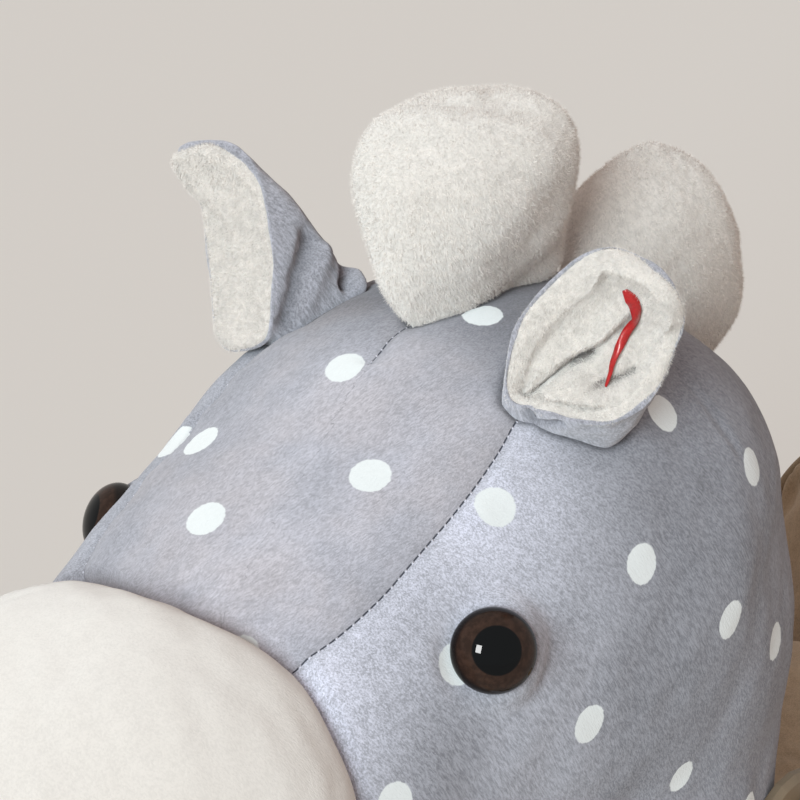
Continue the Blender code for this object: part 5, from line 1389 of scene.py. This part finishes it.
def side_sign(seam):
    """Sign that makes the distance across a seam positive on the cheek."""
    outer = np.sign(seam.points[0, 0])
    return outer * np.sign(seam.across[len(seam.across) // 3, 0])


def head_dots(points, panel):
    """Distance of each vertex from the nearest printed dot of its panel."""
    x, y, z = points.T
    cheek_left = np.minimum(nearest_dot(points, LEFT_DOTS_MM), grid_dot(y, z, DOTS_KNOWN))
    cheek_right = grid_dot(y + RIGHT_DOTS_SHIFT[0], z + RIGHT_DOTS_SHIFT[1])
    cheek = np.where(x > 0, cheek_left, cheek_right)
    top = nearest_dot(points, TOP_DOTS_MM)
    return np.where(panel > 0, cheek, top)


HEAD_SKIN = make_head()


# Muzzle

def make_muzzle():
    """The muzzle: a full cushion of fleece, sewn to the head along its rear edge."""
    rows, columns = 150, 300
    rings = MUZZLE.rings(rows, columns)
    share = np.linspace(0, 1, rows + 1)[:, None, None]
    edge = rings[-1].copy()
    edge[:, 1] = muzzle_edge(edge[:, 0])
    edge = settle(edge, HEAD.field)
    edge = settle(np.stack([edge[:, 0], muzzle_edge(edge[:, 0]), edge[:, 2]], -1), HEAD.field)
    middle = edge.mean(0)
    inset = edge + (middle - edge) * MUZZLE_INSET
    weight = smooth_step(share, *MUZZLE_TURN_IN) ** 1.5
    rings = rings * (1 - weight) + inset[None] * weight
    tuck = (middle - edge) * MUZZLE_TUCK
    inner = np.stack([inset + tuck * k + (0, MUZZLE_TUCK_BACK * k, 0) for k in (1, 2, 4)])
    rings = np.concatenate([domed_end(rings[::-1], MUZZLE_DOME)[::-1], rings, inner])
    piece = closed_rings("muzzle_skin", rings)
    points = vertices(piece)
    set_vertices(piece, points + normals(piece) * lumps(points, MUZZLE_LUMPS)[:, None])
    return dress(piece, MUZZLE_CREAM, ("muzzle",))


make_muzzle()


# Mane tufts

def roughen(obj, seed, coarse, fine, size):
    """Small lumps of stuffing and pile over a skin."""
    points = vertices(obj)
    lift = lumps(points, ((coarse, size, seed), (fine, size / 4, seed + 1)))
    set_vertices(obj, points + normals(obj) * lift[:, None])


def make_pile(name, skin, pile, seed, share=None):
    """Short fibres over a skin, each a closed slender spike lying roughly one way."""
    count = pile["count"]
    rng = np.random.default_rng(seed)
    mesh = skin.data
    mesh.calc_loop_triangles()
    corners = np.empty(len(mesh.loop_triangles) * 3, np.int32)
    mesh.loop_triangles.foreach_get("vertices", corners)
    corners = corners.reshape(-1, 3)
    points, outward = vertices(skin), normals(skin)
    a, b, c = [points[corners[:, k]] for k in range(3)]
    area = np.linalg.norm(np.cross(b - a, c - a), axis=1)
    if share is not None:
        area = area * share[corners].mean(1)
    total = np.cumsum(area)
    pick = np.searchsorted(total / total[-1], rng.random(count))
    weight = rng.dirichlet((1, 1, 1), count)[:, :, None]
    root = (points[corners[pick]] * weight).sum(1)
    up = unit((outward[corners[pick]] * weight).sum(1))
    way = unit(np.array(FIBRE_LIE)) + rng.normal(scale=FIBRE_STRAY, size=(count, 3))
    way = unit(way - up * (way * up).sum(1)[:, None])
    aside = np.cross(way, up)
    length = pile["length"] * rng.uniform(*FIBRE_LENGTHS, (count, 1))
    rise = pile["rise"] * rng.uniform(*FIBRE_RISES, (count, 1))
    half = pile["width"] / 2 * rng.uniform(*FIBRE_WIDTHS, (count, 1))
    root = root - up * pile["width"] * 0.5
    tip = root + way * length * np.cos(rise) + up * (length * np.sin(rise))
    verts = np.stack([root - aside * half, root + aside * half, root - up * half, tip], 1)
    faces = FIBRE_FACES[None] + 4 * np.arange(count)[:, None, None]
    piece = new_object(name, verts.reshape(-1, 3), faces.reshape(-1, 3), False)
    lay_out_fibres(piece, count)
    return dress(piece, PILE)


def lay_out_fibres(piece, count):
    """A flat map for baking, with each fibre in a square of its own."""
    side = math.ceil(math.sqrt(count))
    cell = np.stack([np.arange(count) % side, np.arange(count) // side], -1) / side
    shape = np.array(((0.1, 0.1), (0.9, 0.1), (0.5, 0.9))) / side
    layer = piece.data.uv_layers.new(name="OFBake")
    corners = np.broadcast_to(cell[:, None, None] + shape, (count, 4, 3, 2))
    layer.data.foreach_set("uv", corners.astype(np.float32).ravel())


def make_tuft(label, table, size, front_y, root_z, seed, pile=TUFT_PILE):
    """A stuffed tuft on the midline with its pile; size is its width, length and height."""
    width, length, height = size
    share = even_shares(110)
    front = front_y + profile(table, 2, share) * length
    rear = front_y + profile(table, 3, share) * length
    rings = level_rings(0.0, (front + rear) / 2, root_z + share * height,
                        profile(table, 1, share) * width / 2, (rear - front) / 2,
                        ROUND_SQUARENESS, 200)
    skin = closed_rings(label + "_skin", rounded_ends(rings, TUFT_DOME))
    roughen(skin, seed, *TUFT_LUMPS)
    dress(skin, CREAM, (label + "_tuft",))
    make_pile(label + "_pile", skin, pile, seed + 100)
    return skin


def make_mane():
    """Forelock, crest and nape tufts along the middle of the head and neck; their skins."""
    front = HEAD.front + FORELOCK_FROM_FRONT
    root = float(HEAD.height(0.0, front)) - TUFT_SINK
    forelock = make_tuft("forelock", FORELOCK_SHARES, FORELOCK_SIZE, front, root, 21)
    rear = HEAD.front + HEAD.length
    root = float(HEAD.height(0.0, rear - CREST_ROOT_BEFORE_REAR)) - TUFT_SINK + CREST_RAISED
    crest = make_tuft("crest", CREST_SHARES, CREST_SIZE, rear + CREST_PAST_REAR - CREST_SIZE[1],
                      root, 23)
    nape = make_tuft("nape", NAPE_SHARES, NAPE_SIZE, rear - NAPE_BEFORE_REAR,
                     root - NAPE_BELOW_CREST - NAPE_SIZE[2], 25, NAPE_PILE)
    return [forelock, crest, nape]


TUFT_SKINS = make_mane()


# Ears

def loop_points(table, count):
    """Points on the smooth closed curve through the rows of a table."""
    rows = np.array(table, float)
    at = np.arange(count) / count * len(rows)
    index = at.astype(int)
    knots = [rows[(index + k) % len(rows)] for k in (-1, 0, 1, 2)]
    return curve_between(*knots, (at - index)[:, None])


def place_ear(points_mm, side):
    """Points of an ear, from millimetres along, outward and forward, put where it is sewn on."""
    y = HEAD.front + EAR_BEHIND_FRONT
    root = np.array([EAR_BASE_X, y, float(HEAD.height(EAR_BASE_X, y)) - EAR_SINK])
    flat = math.cos(EAR_FORWARD)
    along = np.array([math.sin(EAR_OUTWARD) * flat, -math.sin(EAR_FORWARD),
                      math.cos(EAR_OUTWARD) * flat])
    forward = np.array([math.sin(EAR_OPENING_TURN), -math.cos(EAR_OPENING_TURN), 0.0])
    forward = unit(forward - along * (forward @ along))
    outward = np.cross(along, forward)
    placed = root + points_mm * MM @ np.stack([along, outward, forward])
    return placed * (side, 1, 1)


def around(columns, turn, spread):
    """For each column of an ear, 1 near a place on its round and 0 far from it."""
    away = abs(np.arange(columns) / columns - turn)
    return bell(np.minimum(away, 1 - away), spread)


def ear_wall(side, columns=300, rows=60):
    """An ear's outer surface from rim to foot, with its creases, the way into the ear, and how much
    painted shade each crease gets.
    """
    rim = loop_points(EAR_RIM_SHARES, columns)
    foot = loop_points(EAR_FOOT_SHARES, columns)
    away = rim + foot
    away[:, 0] = 0.0
    away = unit(away)
    share = np.linspace(0, 1, rows + 1)[:, None, None]
    wall = rim * (1 - share) + foot * share
    bulge = EAR_BULGE_SHARE * around(columns, *BULGE_TURN)[None, :, None]
    wall = (wall + away * bulge * np.sin(math.pi * share)) * EAR_LENGTH / MM
    turn, spread, way = HEM_SHIFT[side]
    wall = wall + (1 - share) ** 3 * around(columns, turn, spread)[None, :, None] * way
    inward = np.cross(np.roll(wall, -1, 1) - np.roll(wall, 1, 1), np.gradient(wall, axis=0))
    inward = unit(inward)
    if ((wall.mean((0, 1)) - wall) * inward).sum() < 0:
        inward = -inward
    painted_crease_shade = np.zeros(wall.shape[:2])
    for line in EAR_CREASES_MM[side]:
        pushed = crease(wall, *line)
        wall = wall + inward * pushed[..., None]
        painted_crease_shade = np.maximum(painted_crease_shade, pushed / CREASE_SHADED_MM)
    return wall, inward, np.minimum(painted_crease_shade, 1.0)


def make_ear_skin(side, label, wall, inward, painted_crease_shade):
    """The ear's thin grey outside."""
    thick = EAR_SKIN_MM + EAR_EDGE_MM[side] * around(wall.shape[1], *EDGE_TURN)[:, None]
    rows = np.arange(len(wall))[:, None, None]
    inner = wall + inward * (EAR_SKIN_MM + (thick - EAR_SKIN_MM) * np.exp(-rows / EDGE_FADE_ROWS))
    up = unit(wall[1] - wall[5])
    middle, half = (wall[1] + inner[1]) / 2, (inner[1] - wall[1]) / 2
    turns = np.radians((30, 60, 90, 120, 150))
    edge = [middle + half * math.cos(t) + up * thick / 2 * math.sin(t) for t in turns]
    rings = place_ear(np.concatenate([inner[1:][::-1], edge, wall[1:]]), side)
    skin = closed_band("ear_skin_" + label, rings)
    roughen(skin, 31 + side, *EAR_LUMPS)
    # Painted shade in the skin's creases
    pressed_and_painted_shade = np.zeros(rings.shape[:2])
    pressed_and_painted_shade[-len(wall[1:]):] = painted_crease_shade[1:]
    set_value(skin, "pressed_and_painted_shade", pressed_and_painted_shade.ravel())
    return dress(skin, GREY, ("ear_" + label,))


def ear_lip(side, wall, inward):
    """Rings of the rolled cream lip, from its outer side over the top to its inner side."""
    width, height = EAR_LIP_MM[side]
    top = around(wall.shape[1], *LIP_TURN)[:, None]
    width = width + EAR_LIP_MORE_MM[side] * top
    edge = EAR_EDGE_MM[side] * around(wall.shape[1], *EDGE_TURN)[:, None]
    edge = EAR_SKIN_MM * LIP_START + edge
    height = height * (1 - LIP_FLAT * around(wall.shape[1], *LIP_FLAT_TURN)[:, None])
    up = unit(wall[0] - wall[5])
    into = inward[1]
    middle = wall[0] + into * (width + edge) - up * height * LIP_SINK
    return np.stack([middle - into * width * math.cos(t) + up * height * math.sin(t)
                     for t in LIP_TURNS])


def inner_folds(along, outward):
    """Rise of the left ear's folded lining above its cup, at places in millimetres."""
    start = np.interp(along, *np.array(FOLD_START_MM).T)
    ridge = np.interp(along, *np.array(FOLD_RIDGE_MM).T)
    share = np.clip((outward - start) / (ridge - start), 0, 1)
    fold = FOLD_RISE * share ** 1.2 * (1 - smooth_step(along, *FOLD_END))
    fold *= 1 - smooth_step(outward - ridge, *FOLD_LIP)
    valley = bell(outward - start, VALLEY_WIDTH, -VALLEY_DEPTH)
    flap = FLAP_RISE * smooth_step(outward - ridge, *FLAP_START)
    flap *= 1 - smooth_step(along - FLAP_LEAN * outward, *FLAP_END)
    away = np.hypot((along - MOUND_MM[0]) / MOUND_REACH[0],
                    (outward - MOUND_MM[1]) / MOUND_REACH[1])
    mound = MOUND_RISE * (1 - smooth_step(away, *MOUND_EDGE))
    flat = np.stack([along, outward], -1)
    pressed_and_painted_shade = sum(crease(flat, *line) for line in INNER_CREASES_MM)
    return fold + valley + np.maximum(flap, mound) - pressed_and_painted_shade


def ear_cup(side, last, rows=64):
    """Rings of the lining from the lip's inner side to the bottom of the cup, and the painted shade
    of their creases.
    """
    middle = last.mean(0)
    spectrum = np.fft.rfft(last - middle, axis=0)
    order = np.arange(len(spectrum))[:, None]
    rings, painted_crease_shade = [], []
    for reach in np.linspace(*EAR_CUP_REACH, rows):
        keep = bell(order, 3 + 60 * reach ** 3)
        ring = middle + np.fft.irfft(spectrum * keep, len(last), axis=0) * reach
        ring[:, 2] -= EAR_CUP_MM[side] * (1 - reach ** 2.6)
        inside = smooth_step(1 - reach, 0.0, EAR_CUP_FOLDS)
        if side > 0:
            pushed = sum(crease(ring[:, :2], *line) for line in INNER_CREASES_MM)
            ring[:, 2] += inner_folds(ring[:, 0], ring[:, 1]) * inside
        else:
            pushed = sum(crease(ring, *line) for line in LINING_CREASES_MM)
            ring[:, 2] -= pushed * inside
        rings.append(ring)
        painted_crease_shade.append(np.minimum(pushed / LINING_SHADED_MM, 1.0) * inside)
    return np.stack(rings), np.stack(painted_crease_shade)


def make_ear(side, label):
    """A cupped ear: thin grey skin outside, thick cream lining rolled inside its rim."""
    wall, inward, painted_crease_shade = ear_wall(side)
    skin = make_ear_skin(side, label, wall, inward, painted_crease_shade)
    lip = ear_lip(side, wall, inward)
    cup, painted_crease_shade = ear_cup(side, lip[-1])
    behind = cup[::-1] - (0, 0, LINING_BACK_MM)
    rings = place_ear(np.concatenate([behind, lip, cup]), side)
    lining = closed_rings("ear_lining_skin_" + label, rings)
    roughen(lining, 35 + side, *LINING_LUMPS)
    dress(lining, CREAM, ("ear_lining_" + label,))
    # Painted shade in the lining's creases
    pressed_and_painted_shade = np.zeros(len(lining.data.vertices))
    start = (len(behind) + len(lip)) * rings.shape[1]
    pressed_and_painted_shade[start:start + painted_crease_shade.size] = painted_crease_shade.ravel()
    set_value(lining, "pressed_and_painted_shade", pressed_and_painted_shade)
    shown = 1 - pressed_and_painted_shade
    shown[:len(behind) * rings.shape[1]] = 0.0
    make_pile("ear_lining_pile_" + label, lining, EAR_PILE, 135 + side, shown)
    return skin, cup


LEFT_EAR, LEFT_CUP = make_ear(1, "left")
RIGHT_EAR = make_ear(-1, "right")[0]
press(HEAD_SKIN, TUFT_SKINS + [LEFT_EAR, RIGHT_EAR])


def make_label(cup):
    """Folded satin label lying on the left ear's lining."""
    curve = smooth_line(LABEL_MM)
    at = np.linspace(0, 1, LABEL_ROWS)
    flat = line_at(curve, at * run_along(curve)[-1])
    surface = cup.reshape(-1, 3)
    nearest = ((surface[None, :, :2] - flat[:, None]) ** 2).sum(-1).argmin(1)
    height = np.convolve(np.pad(surface[nearest, 2], LABEL_SMOOTHING // 2, "edge"),
                         np.full(LABEL_SMOOTHING, 1 / LABEL_SMOOTHING), "valid")
    line = np.column_stack([flat, height + LABEL_CLEAR_MM])
    down = unit(np.gradient(line, axis=0))
    width = unit(np.cross(down, LABEL_LIFT))
    rings = []
    for k, share in enumerate(at):
        start = min(1.0, 0.35 + 7 * share)
        half = LABEL_THICK_MM + LABEL_HALF_MM * start * (1 - share) ** LABEL_TAPER
        half *= 1 + LABEL_WAVE[0] * math.sin(LABEL_WAVE[1] * share)
        turn = sum(size * math.sin(rate * share) for size, rate in LABEL_TWISTS)
        thick = np.cross(down[k], width[k])
        across = width[k] * math.cos(turn) + thick * math.sin(turn)
        normal = np.cross(down[k], across)
        rings.append([line[k] + across * half * x + normal * LABEL_THICK_MM * z
                      for x, z in LABEL_SECTION])
    label = closed_rings("ear_label_tape", place_ear(np.array(rings), 1))
    dress(label, label_material(), ("ear_label",))


make_label(LEFT_CUP)


# Eyes

def make_eyes():
    """Domed safety eyes with a thin rim."""
    material = eye_material()
    for label, side in SIDES.items():
        place, out = eye_seat(side)
        across = unit(np.cross(out, (0, 0, 1)))
        above = np.cross(across, out)
        dome = [(EYE_RADIUS * math.cos(a), EYE_RIM + (EYE_DOME - EYE_RIM) * math.sin(a))
                for a in np.radians(np.linspace(4, 90, 26))[:-1]]
        turn = np.linspace(0, 2 * math.pi, 96, endpoint=False)
        circle = np.cos(turn)[:, None] * across + np.sin(turn)[:, None] * above
        rings = np.stack([place + out * height + circle * radius
                          for radius, height in (*EYE_STEM, *dome)])
        eye = closed_rings("eye_dome_" + label, rings)
        offset = vertices(eye) - place
        flat = offset - (offset @ out)[:, None] * out
        set_value(eye, "eye_reach", np.linalg.norm(flat, axis=1))
        dress(eye, material, ("eye_" + label,))


make_eyes()


# Body, legs and seat

def strewn_dot(points, spacing):
    """How far each point is from the nearest of the dots strewn evenly over its piece."""
    middles = points[:1]
    for point in points[::11]:
        if np.linalg.norm(middles - point, axis=1).min() > spacing:
            middles = np.vstack([middles, point])
    nearest = np.full(len(points), spacing)
    for middle in middles:
        nearest = np.minimum(nearest, np.linalg.norm(points - middle, axis=1))
    return nearest


def dress_dotted(skin, points, seam_gap, seam_run, node):
    """Give a body piece its dotted plush, with one seam."""
    set_value(skin, "panel_gap", np.ones(len(points)))
    set_value(skin, "seam_gap", seam_gap)
    set_value(skin, "seam_run", seam_run)
    set_value(skin, "dot_gap", strewn_dot(points, BODY_DOT_SPACING))
    dress(skin, DOTTED, (node,))


def make_torso():
    """Barrel of the body, with a belly seam and printed dots."""
    torso = closed_rings("torso_skin", rounded_ends(TORSO.rings(200, 300), TORSO_DOME))
    # Painted shade where the torso faces the rear
    paint_rear_shade(torso, normals(torso))
    roughen(torso, 41, *TORSO_LUMPS)
    points = vertices(torso)
    above_belly = np.where(points[:, 2] > BELLY_SEAM_TOP, BELLY_SEAM_AWAY, 0)
    dress_dotted(torso, points, abs(points[:, 0]) + above_belly, points[:, 1], "torso")


make_torso()


def leg_line(side, end, z, follow=1.0):
    """Middle of a leg at a height, from its foot on the plank to the seat board."""
    foot_y, head_y = LEG_LINES[end]
    share = follow * (z - POST_BOTTOM) / POST_HEIGHT
    x = side * (POST_FOOT_X + (POST_HEAD_X - POST_FOOT_X) * share)
    return x, foot_y + (head_y - foot_y) * share


def make_leg(name, side, end):
    """A plush leg with a seam along its inner side."""
    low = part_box(name)[0].z
    share = np.linspace(0, 1, 70)
    z = low + (LEG_TOP - low) * share
    radius = np.interp(share, *LEG_RADII)
    x, y = leg_line(side, end, z)
    leg = closed_rings(name + "_skin",
                       level_rings(x, y, z, radius * LEG_FLATNESS, radius, ROUND_SQUARENESS, 120))
    # Painted shade where the leg faces the rear
    paint_rear_shade(leg, normals(leg))
    roughen(leg, 51, *LEG_LUMPS)
    points = vertices(leg)
    angle = np.arctan2(points[:, 1] - np.interp(points[:, 2], z, y),
                       (points[:, 0] - np.interp(points[:, 2], z, x)) * side)
    dress_dotted(leg, points, (math.pi - abs(angle)) * LEG_SEAM_RADIUS, points[:, 2], name)


def make_hoof(name, side, end):
    """A fleece hoof that stands on its plank."""
    low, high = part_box(name)
    share = np.linspace(0, 1, 50)
    z = low.z + (high.z - low.z) * share
    under = np.maximum(HOOF_SOLE[0] - share, 0) / HOOF_SOLE[1]
    swell = profile(HOOF_SHARES, 1, share)
    swell *= np.minimum(1, np.sqrt(np.maximum(1 - under ** 2, 0)))
    x, y = leg_line(side, end, z, HOOF_LEAN)
    hoof = closed_rings(name + "_skin", level_rings(x, y, z, HOOF_HALF_WIDTH * swell,
                                                    HOOF_HALF_LENGTH * swell, HOOF_SQUARENESS, 140))
    roughen(hoof, 53, *HOOF_LUMPS)
    dress(hoof, CREAM, (name,))


def make_legs():
    """The four legs and their hooves."""
    for label, side in SIDES.items():
        for end in LEG_LINES:
            make_leg("%s_leg_%s" % (end, label), side, end)
            make_hoof("%s_hoof_%s" % (end, label), side, end)


make_legs()


def make_tail():
    """The tail, hanging from the rump."""
    root = np.array([0, TORSO.front + TORSO.length - TAIL_ROOT_IN,
                     TORSO.base + TORSO.depth * TAIL_ROOT_SHARE])
    share = even_shares(90)
    swell = np.sin(math.pi * np.minimum(share * 0.92 + 0.04, 1.0)) ** 0.6
    across = oval(140)
    length, rise = TAIL_FLATNESS
    rings = np.empty((len(share), 140, 3))
    for k, s in enumerate(share):
        back = TAIL_SWING * math.sin(TAIL_SWING_TURN * s)
        middle = root + (0, back, -TAIL_DROP * s ** TAIL_DROOP)
        rings[k, :, 0] = across[:, 0] * TAIL_WIDTH / 2 * swell[k]
        rings[k, :, 1] = middle[1] + length * across[:, 1] * TAIL_WIDTH * swell[k]
        rings[k, :, 2] = middle[2] + rise * across[:, 1] * TAIL_WIDTH * swell[k] * (1 - s)
    tail = closed_rings("tail_skin", rings)
    roughen(tail, 61, *TAIL_LUMPS)
    dress(tail, CREAM, ("tail",))


make_tail()


def saddle_point(y, angle, grow):
    """Points over the torso at y: angle from straight up, grown off its surface."""
    half_width, middle, half_depth = TORSO.section(y)
    s, c = np.sin(angle), np.cos(angle)
    power = 2 / TORSO_SQUARENESS
    x = (half_width + grow) * np.sign(s) * abs(s) ** power
    z = middle + (half_depth + grow) * np.sign(c) * abs(c) ** power
    return np.stack([x, y + 0 * x, z], -1)


def make_saddle():
    """Padded saddle over the back, with a crowned seat, sewn channels and a rolled hem."""
    low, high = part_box("saddle")
    share = even_shares(120)[:, None]
    y = low.y + (high.y - low.y) * share
    lean = np.linspace(-1, 1, 240)[None, :]
    pad = SADDLE_SKIRT + (SADDLE_PAD - SADDLE_SKIRT) * np.maximum(1 - lean ** 2, 0) ** 1.2
    edge = np.maximum(np.sin(math.pi * share), 0.0) ** 0.35
    roll = (1 - abs(lean) ** 8) ** 0.5
    thickness = (SADDLE_LEAST + pad * (SADDLE_ENDS + (1 - SADDLE_ENDS) * edge)
                 * (SADDLE_SIDES + (1 - SADDLE_SIDES) * roll))
    for channel in SADDLE_CHANNELS:
        thickness = thickness - bell(lean - channel, CHANNEL_WIDTH, CHANNEL_DEPTH) * edge
    y = y + 0 * lean
    angle = SADDLE_REACH * lean + 0 * y
    under = saddle_point(y, angle, 0 * thickness - SADDLE_UNDER)
    rings = np.concatenate([saddle_point(y, angle, thickness), under[:, ::-1]], axis=1)
    saddle = closed_rings("saddle_skin", rings)
    roughen(saddle, 71, *PADDED_LUMPS)
    dress(saddle, TAUPE, ("saddle",))
    cord("saddle_piping", saddle_hem(low.y, high.y), PIPING_RADIUS, TAUPE_CORD)


def saddle_hem(front_y, rear_y):
    """The closed line of the saddle's hem."""
    start, end = SADDLE_HEM
    across = np.linspace(-1, 1, 90) * SADDLE_REACH * end
    along = np.linspace(start, end, 60) * (rear_y - front_y) + front_y
    side = SADDLE_REACH * end + 0 * along
    front = saddle_point(along[0] + 0 * across, across, SADDLE_HEM_GROW)
    rear = saddle_point(along[-1] + 0 * across, across[::-1], SADDLE_HEM_GROW)
    left = saddle_point(along, side, SADDLE_HEM_GROW)[1:-1]
    right = saddle_point(along[::-1], -side, SADDLE_HEM_GROW)[1:-1]
    return evened(np.concatenate([front, left, rear, right]), PIPING_SPACING)


make_saddle()


def cushion_outline(steps=60):
    """Points across and up, round the cushion with its four rounded corners."""
    outline = []
    for quarter in range(4):
        right = 1 if quarter in (0, 3) else -1
        above = 1 if quarter in (0, 1) else -1
        corner = CUSHION_CORNERS[above]
        for angle in np.linspace(0, math.pi / 2, steps, endpoint=False) + quarter * math.pi / 2:
            outline.append((right * (CUSHION_HALF_WIDTH - corner) + corner * math.cos(angle),
                            above * (CUSHION_HALF_HEIGHT - corner) + corner * math.sin(angle)))
    return np.array(outline)


def make_back_cushion():
    """Crowned back cushion with a puckered seam and piping round its edge."""
    low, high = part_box("back_cushion")
    centre = np.array((low + high) / 2)
    up = np.array([0, math.sin(CUSHION_LEAN), math.cos(CUSHION_LEAN)])
    back = np.array([0, math.cos(CUSHION_LEAN), -math.sin(CUSHION_LEAN)])
    across, above = cushion_outline().T
    rings = []
    for angle in np.linspace(-math.pi / 2, math.pi / 2, 90):
        scale = CUSHION_LEAST + (1 - CUSHION_LEAST) * max(math.cos(angle), 0) ** 0.7
        depth = CUSHION_THICKNESS / 2 * math.sin(angle)
        rings.append(centre + np.outer(across * scale, (1, 0, 0)) + np.outer(above * scale, up)
                     + back * depth)
    cushion = closed_rings("back_cushion_skin", np.array(rings))
    inflate(cushion, CLOTH_VOXEL, CLOTH_PRESSURE, CUSHION_SWELL,
            lambda points: abs((points - centre) @ back) < CLOTH_HELD * CLOTH_VOXEL)
    edge = evened(centre + np.outer(across, (1, 0, 0)) + np.outer(above, up), PIPING_SPACING)
    points = vertices(cushion)
    away = nearest_distance(points, edge)
    pucker = waves(points, CUSHION_PUCKER_SIZE, 83)
    pucker = pucker * bell(away - CUSHION_PUCKER_AWAY, CUSHION_PUCKER_SPREAD)
    lift = CUSHION_PUCKER_HEIGHT * pucker - bell(away, *CUSHION_SEAM)
    set_vertices(cushion, points + normals(cushion) * lift[:, None])
    roughen(cushion, 81, *PADDED_LUMPS)
    dress(cushion, TAUPE, ("back_cushion",))
    cord("back_cushion_piping", edge, PIPING_RADIUS, TAUPE_CORD)


make_back_cushion()


# Finishes of the rigid pieces that keep their CAD shape

def nodes_with(*words):
    """Names of the CAD nodes that hold one of the words."""
    return [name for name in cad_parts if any(word in name for word in words)]


def paint(names, material):
    """Give CAD nodes a material."""
    for name in names:
        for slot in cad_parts[name].material_slots:
            slot.material = material


def paint_rigid():
    """Wood, plywood, rubber, plastic and steel."""
    lengthwise = wood_material("beech_lengthwise", *BEECH, (0, 1, 0))
    crosswise = wood_material("beech_crosswise", *BEECH, (1, 0, 0))
    plywood = wood_material("plywood", *PLYWOOD, (0, 0, 1), 0.6)
    paint(["rocker_left", "rocker_right"], lengthwise)
    paint(["front_plank", "rear_plank", "footrest_plank", "handle_bar", "grip_left", "grip_right"],
          crosswise)
    paint(nodes_with("post", "board", "cleat"), plywood)
    paint(nodes_with("strip"), moulded_material("strip_rubber", RUBBER_BLACK, 0.75))
    paint(nodes_with("collar", "sleeve"), moulded_material("brown_plastic", PLASTIC_BROWN, 0.55))
    paint(nodes_with("washer"), moulded_material("pale_plastic", PLASTIC_PALE, 0.45))
    paint(nodes_with("screw"), steel_material())


paint_rigid()


# Floor, light and camera

def add_object(name, data):
    """A lamp or camera in the scene."""
    obj = bpy.data.objects.new(name, data)
    bpy.context.scene.collection.objects.link(obj)
    return obj


def seen_ray(tree):
    """1 where a thing is seen directly, mirrored or through glass, else 0."""
    path = tree.nodes.new("ShaderNodeLightPath")
    seen = path.outputs["Is Camera Ray"]
    for ray in ("Is Glossy Ray", "Is Transmission Ray"):
        either = tree.nodes.new("ShaderNodeMath")
        either.operation = "MAXIMUM"
        tree.links.new(seen, either.inputs[0])
        tree.links.new(path.outputs[ray], either.inputs[1])
        seen = either.outputs[0]
    return seen


def make_floor():
    """Pale paper floor."""
    r = FLOOR_REACH
    floor = new_object("floor", np.array([(-r, -r, 0), (r, -r, 0), (r, r, 0), (-r, r, 0)]),
                       [(0, 1, 2, 3)], False)
    shader = Shader("floor_paper")
    tone = shader.mix(seen_ray(shader.tree), FLOOR_BOUNCE, FLOOR_PAPER)
    shader.finish(Base_Color=tone, Roughness=0.9, Specular_IOR_Level=0.1)
    floor.data.materials.append(shader.material)


def make_world():
    """Even light from all round, with the backdrop's colour where it is seen or mirrored."""
    world = bpy.data.worlds.new("soft_room")
    bpy.context.scene.world = world
    world.use_nodes = True
    tree = world.node_tree
    room = tree.nodes["Background"]
    room.inputs["Color"].default_value = (*ROOM_COLOUR, 1.0)
    room.inputs["Strength"].default_value = ROOM_STRENGTH
    shown = tree.nodes.new("ShaderNodeBackground")
    shown.inputs["Color"].default_value = (*BACKDROP, 1.0)
    either = tree.nodes.new("ShaderNodeMixShader")
    tree.links.new(seen_ray(tree), either.inputs[0])
    tree.links.new(room.outputs[0], either.inputs[1])
    tree.links.new(shown.outputs[0], either.inputs[2])
    tree.links.new(either.outputs[0], tree.nodes["World Output"].inputs["Surface"])


def add_lamp(name, kind, power, towards):
    """A lamp that shines from the way it stands towards."""
    data = bpy.data.lights.new(name, kind)
    data.energy = power
    lamp = add_object(name, data)
    lamp.rotation_euler = towards.to_track_quat("Z", "Y").to_euler()
    return lamp


def make_lamps():
    """A soft sun from the camera's left, and a small window that the eyes mirror."""
    sun = add_lamp("soft_sun", "SUN", SUN_STRENGTH, SUN_TOWARDS)
    sun.data.angle = SUN_SPREAD
    sun.data.color = SUN_COLOUR
    sun.visible_glossy = False
    window = add_lamp("window", "AREA", SPARK_POWER, SPARK_TOWARDS)
    window.data.shape = "RECTANGLE"
    window.data.size, window.data.size_y = SPARK_SIZE
    low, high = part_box("eye_left")
    window.location = (low + high) / 2 + SPARK_TOWARDS * SPARK_DISTANCE
    window.visible_camera = False
    window.visible_diffuse = False


def make_camera():
    """The photograph's camera."""
    data = bpy.data.cameras.new("photo_camera")
    data.sensor_fit = "HORIZONTAL"
    data.sensor_width = SENSOR_WIDTH
    data.lens = FOCAL_PIXELS / PICTURE_WIDTH * SENSOR_WIDTH
    camera = add_object("photo_camera", data)
    flat = math.cos(CAMERA_ELEVATION)
    back = Vector((math.sin(CAMERA_AZIMUTH) * flat, -math.cos(CAMERA_AZIMUTH) * flat,
                   math.sin(CAMERA_ELEVATION)))
    camera.location = Vector(TARGET) + back * CAMERA_DISTANCE
    camera.rotation_euler = back.to_track_quat("Z", "Y").to_euler()
    bpy.context.scene.camera = camera
    bpy.context.scene.view_settings.view_transform = "Standard"


make_floor()
make_world()
make_lamps()
make_camera()
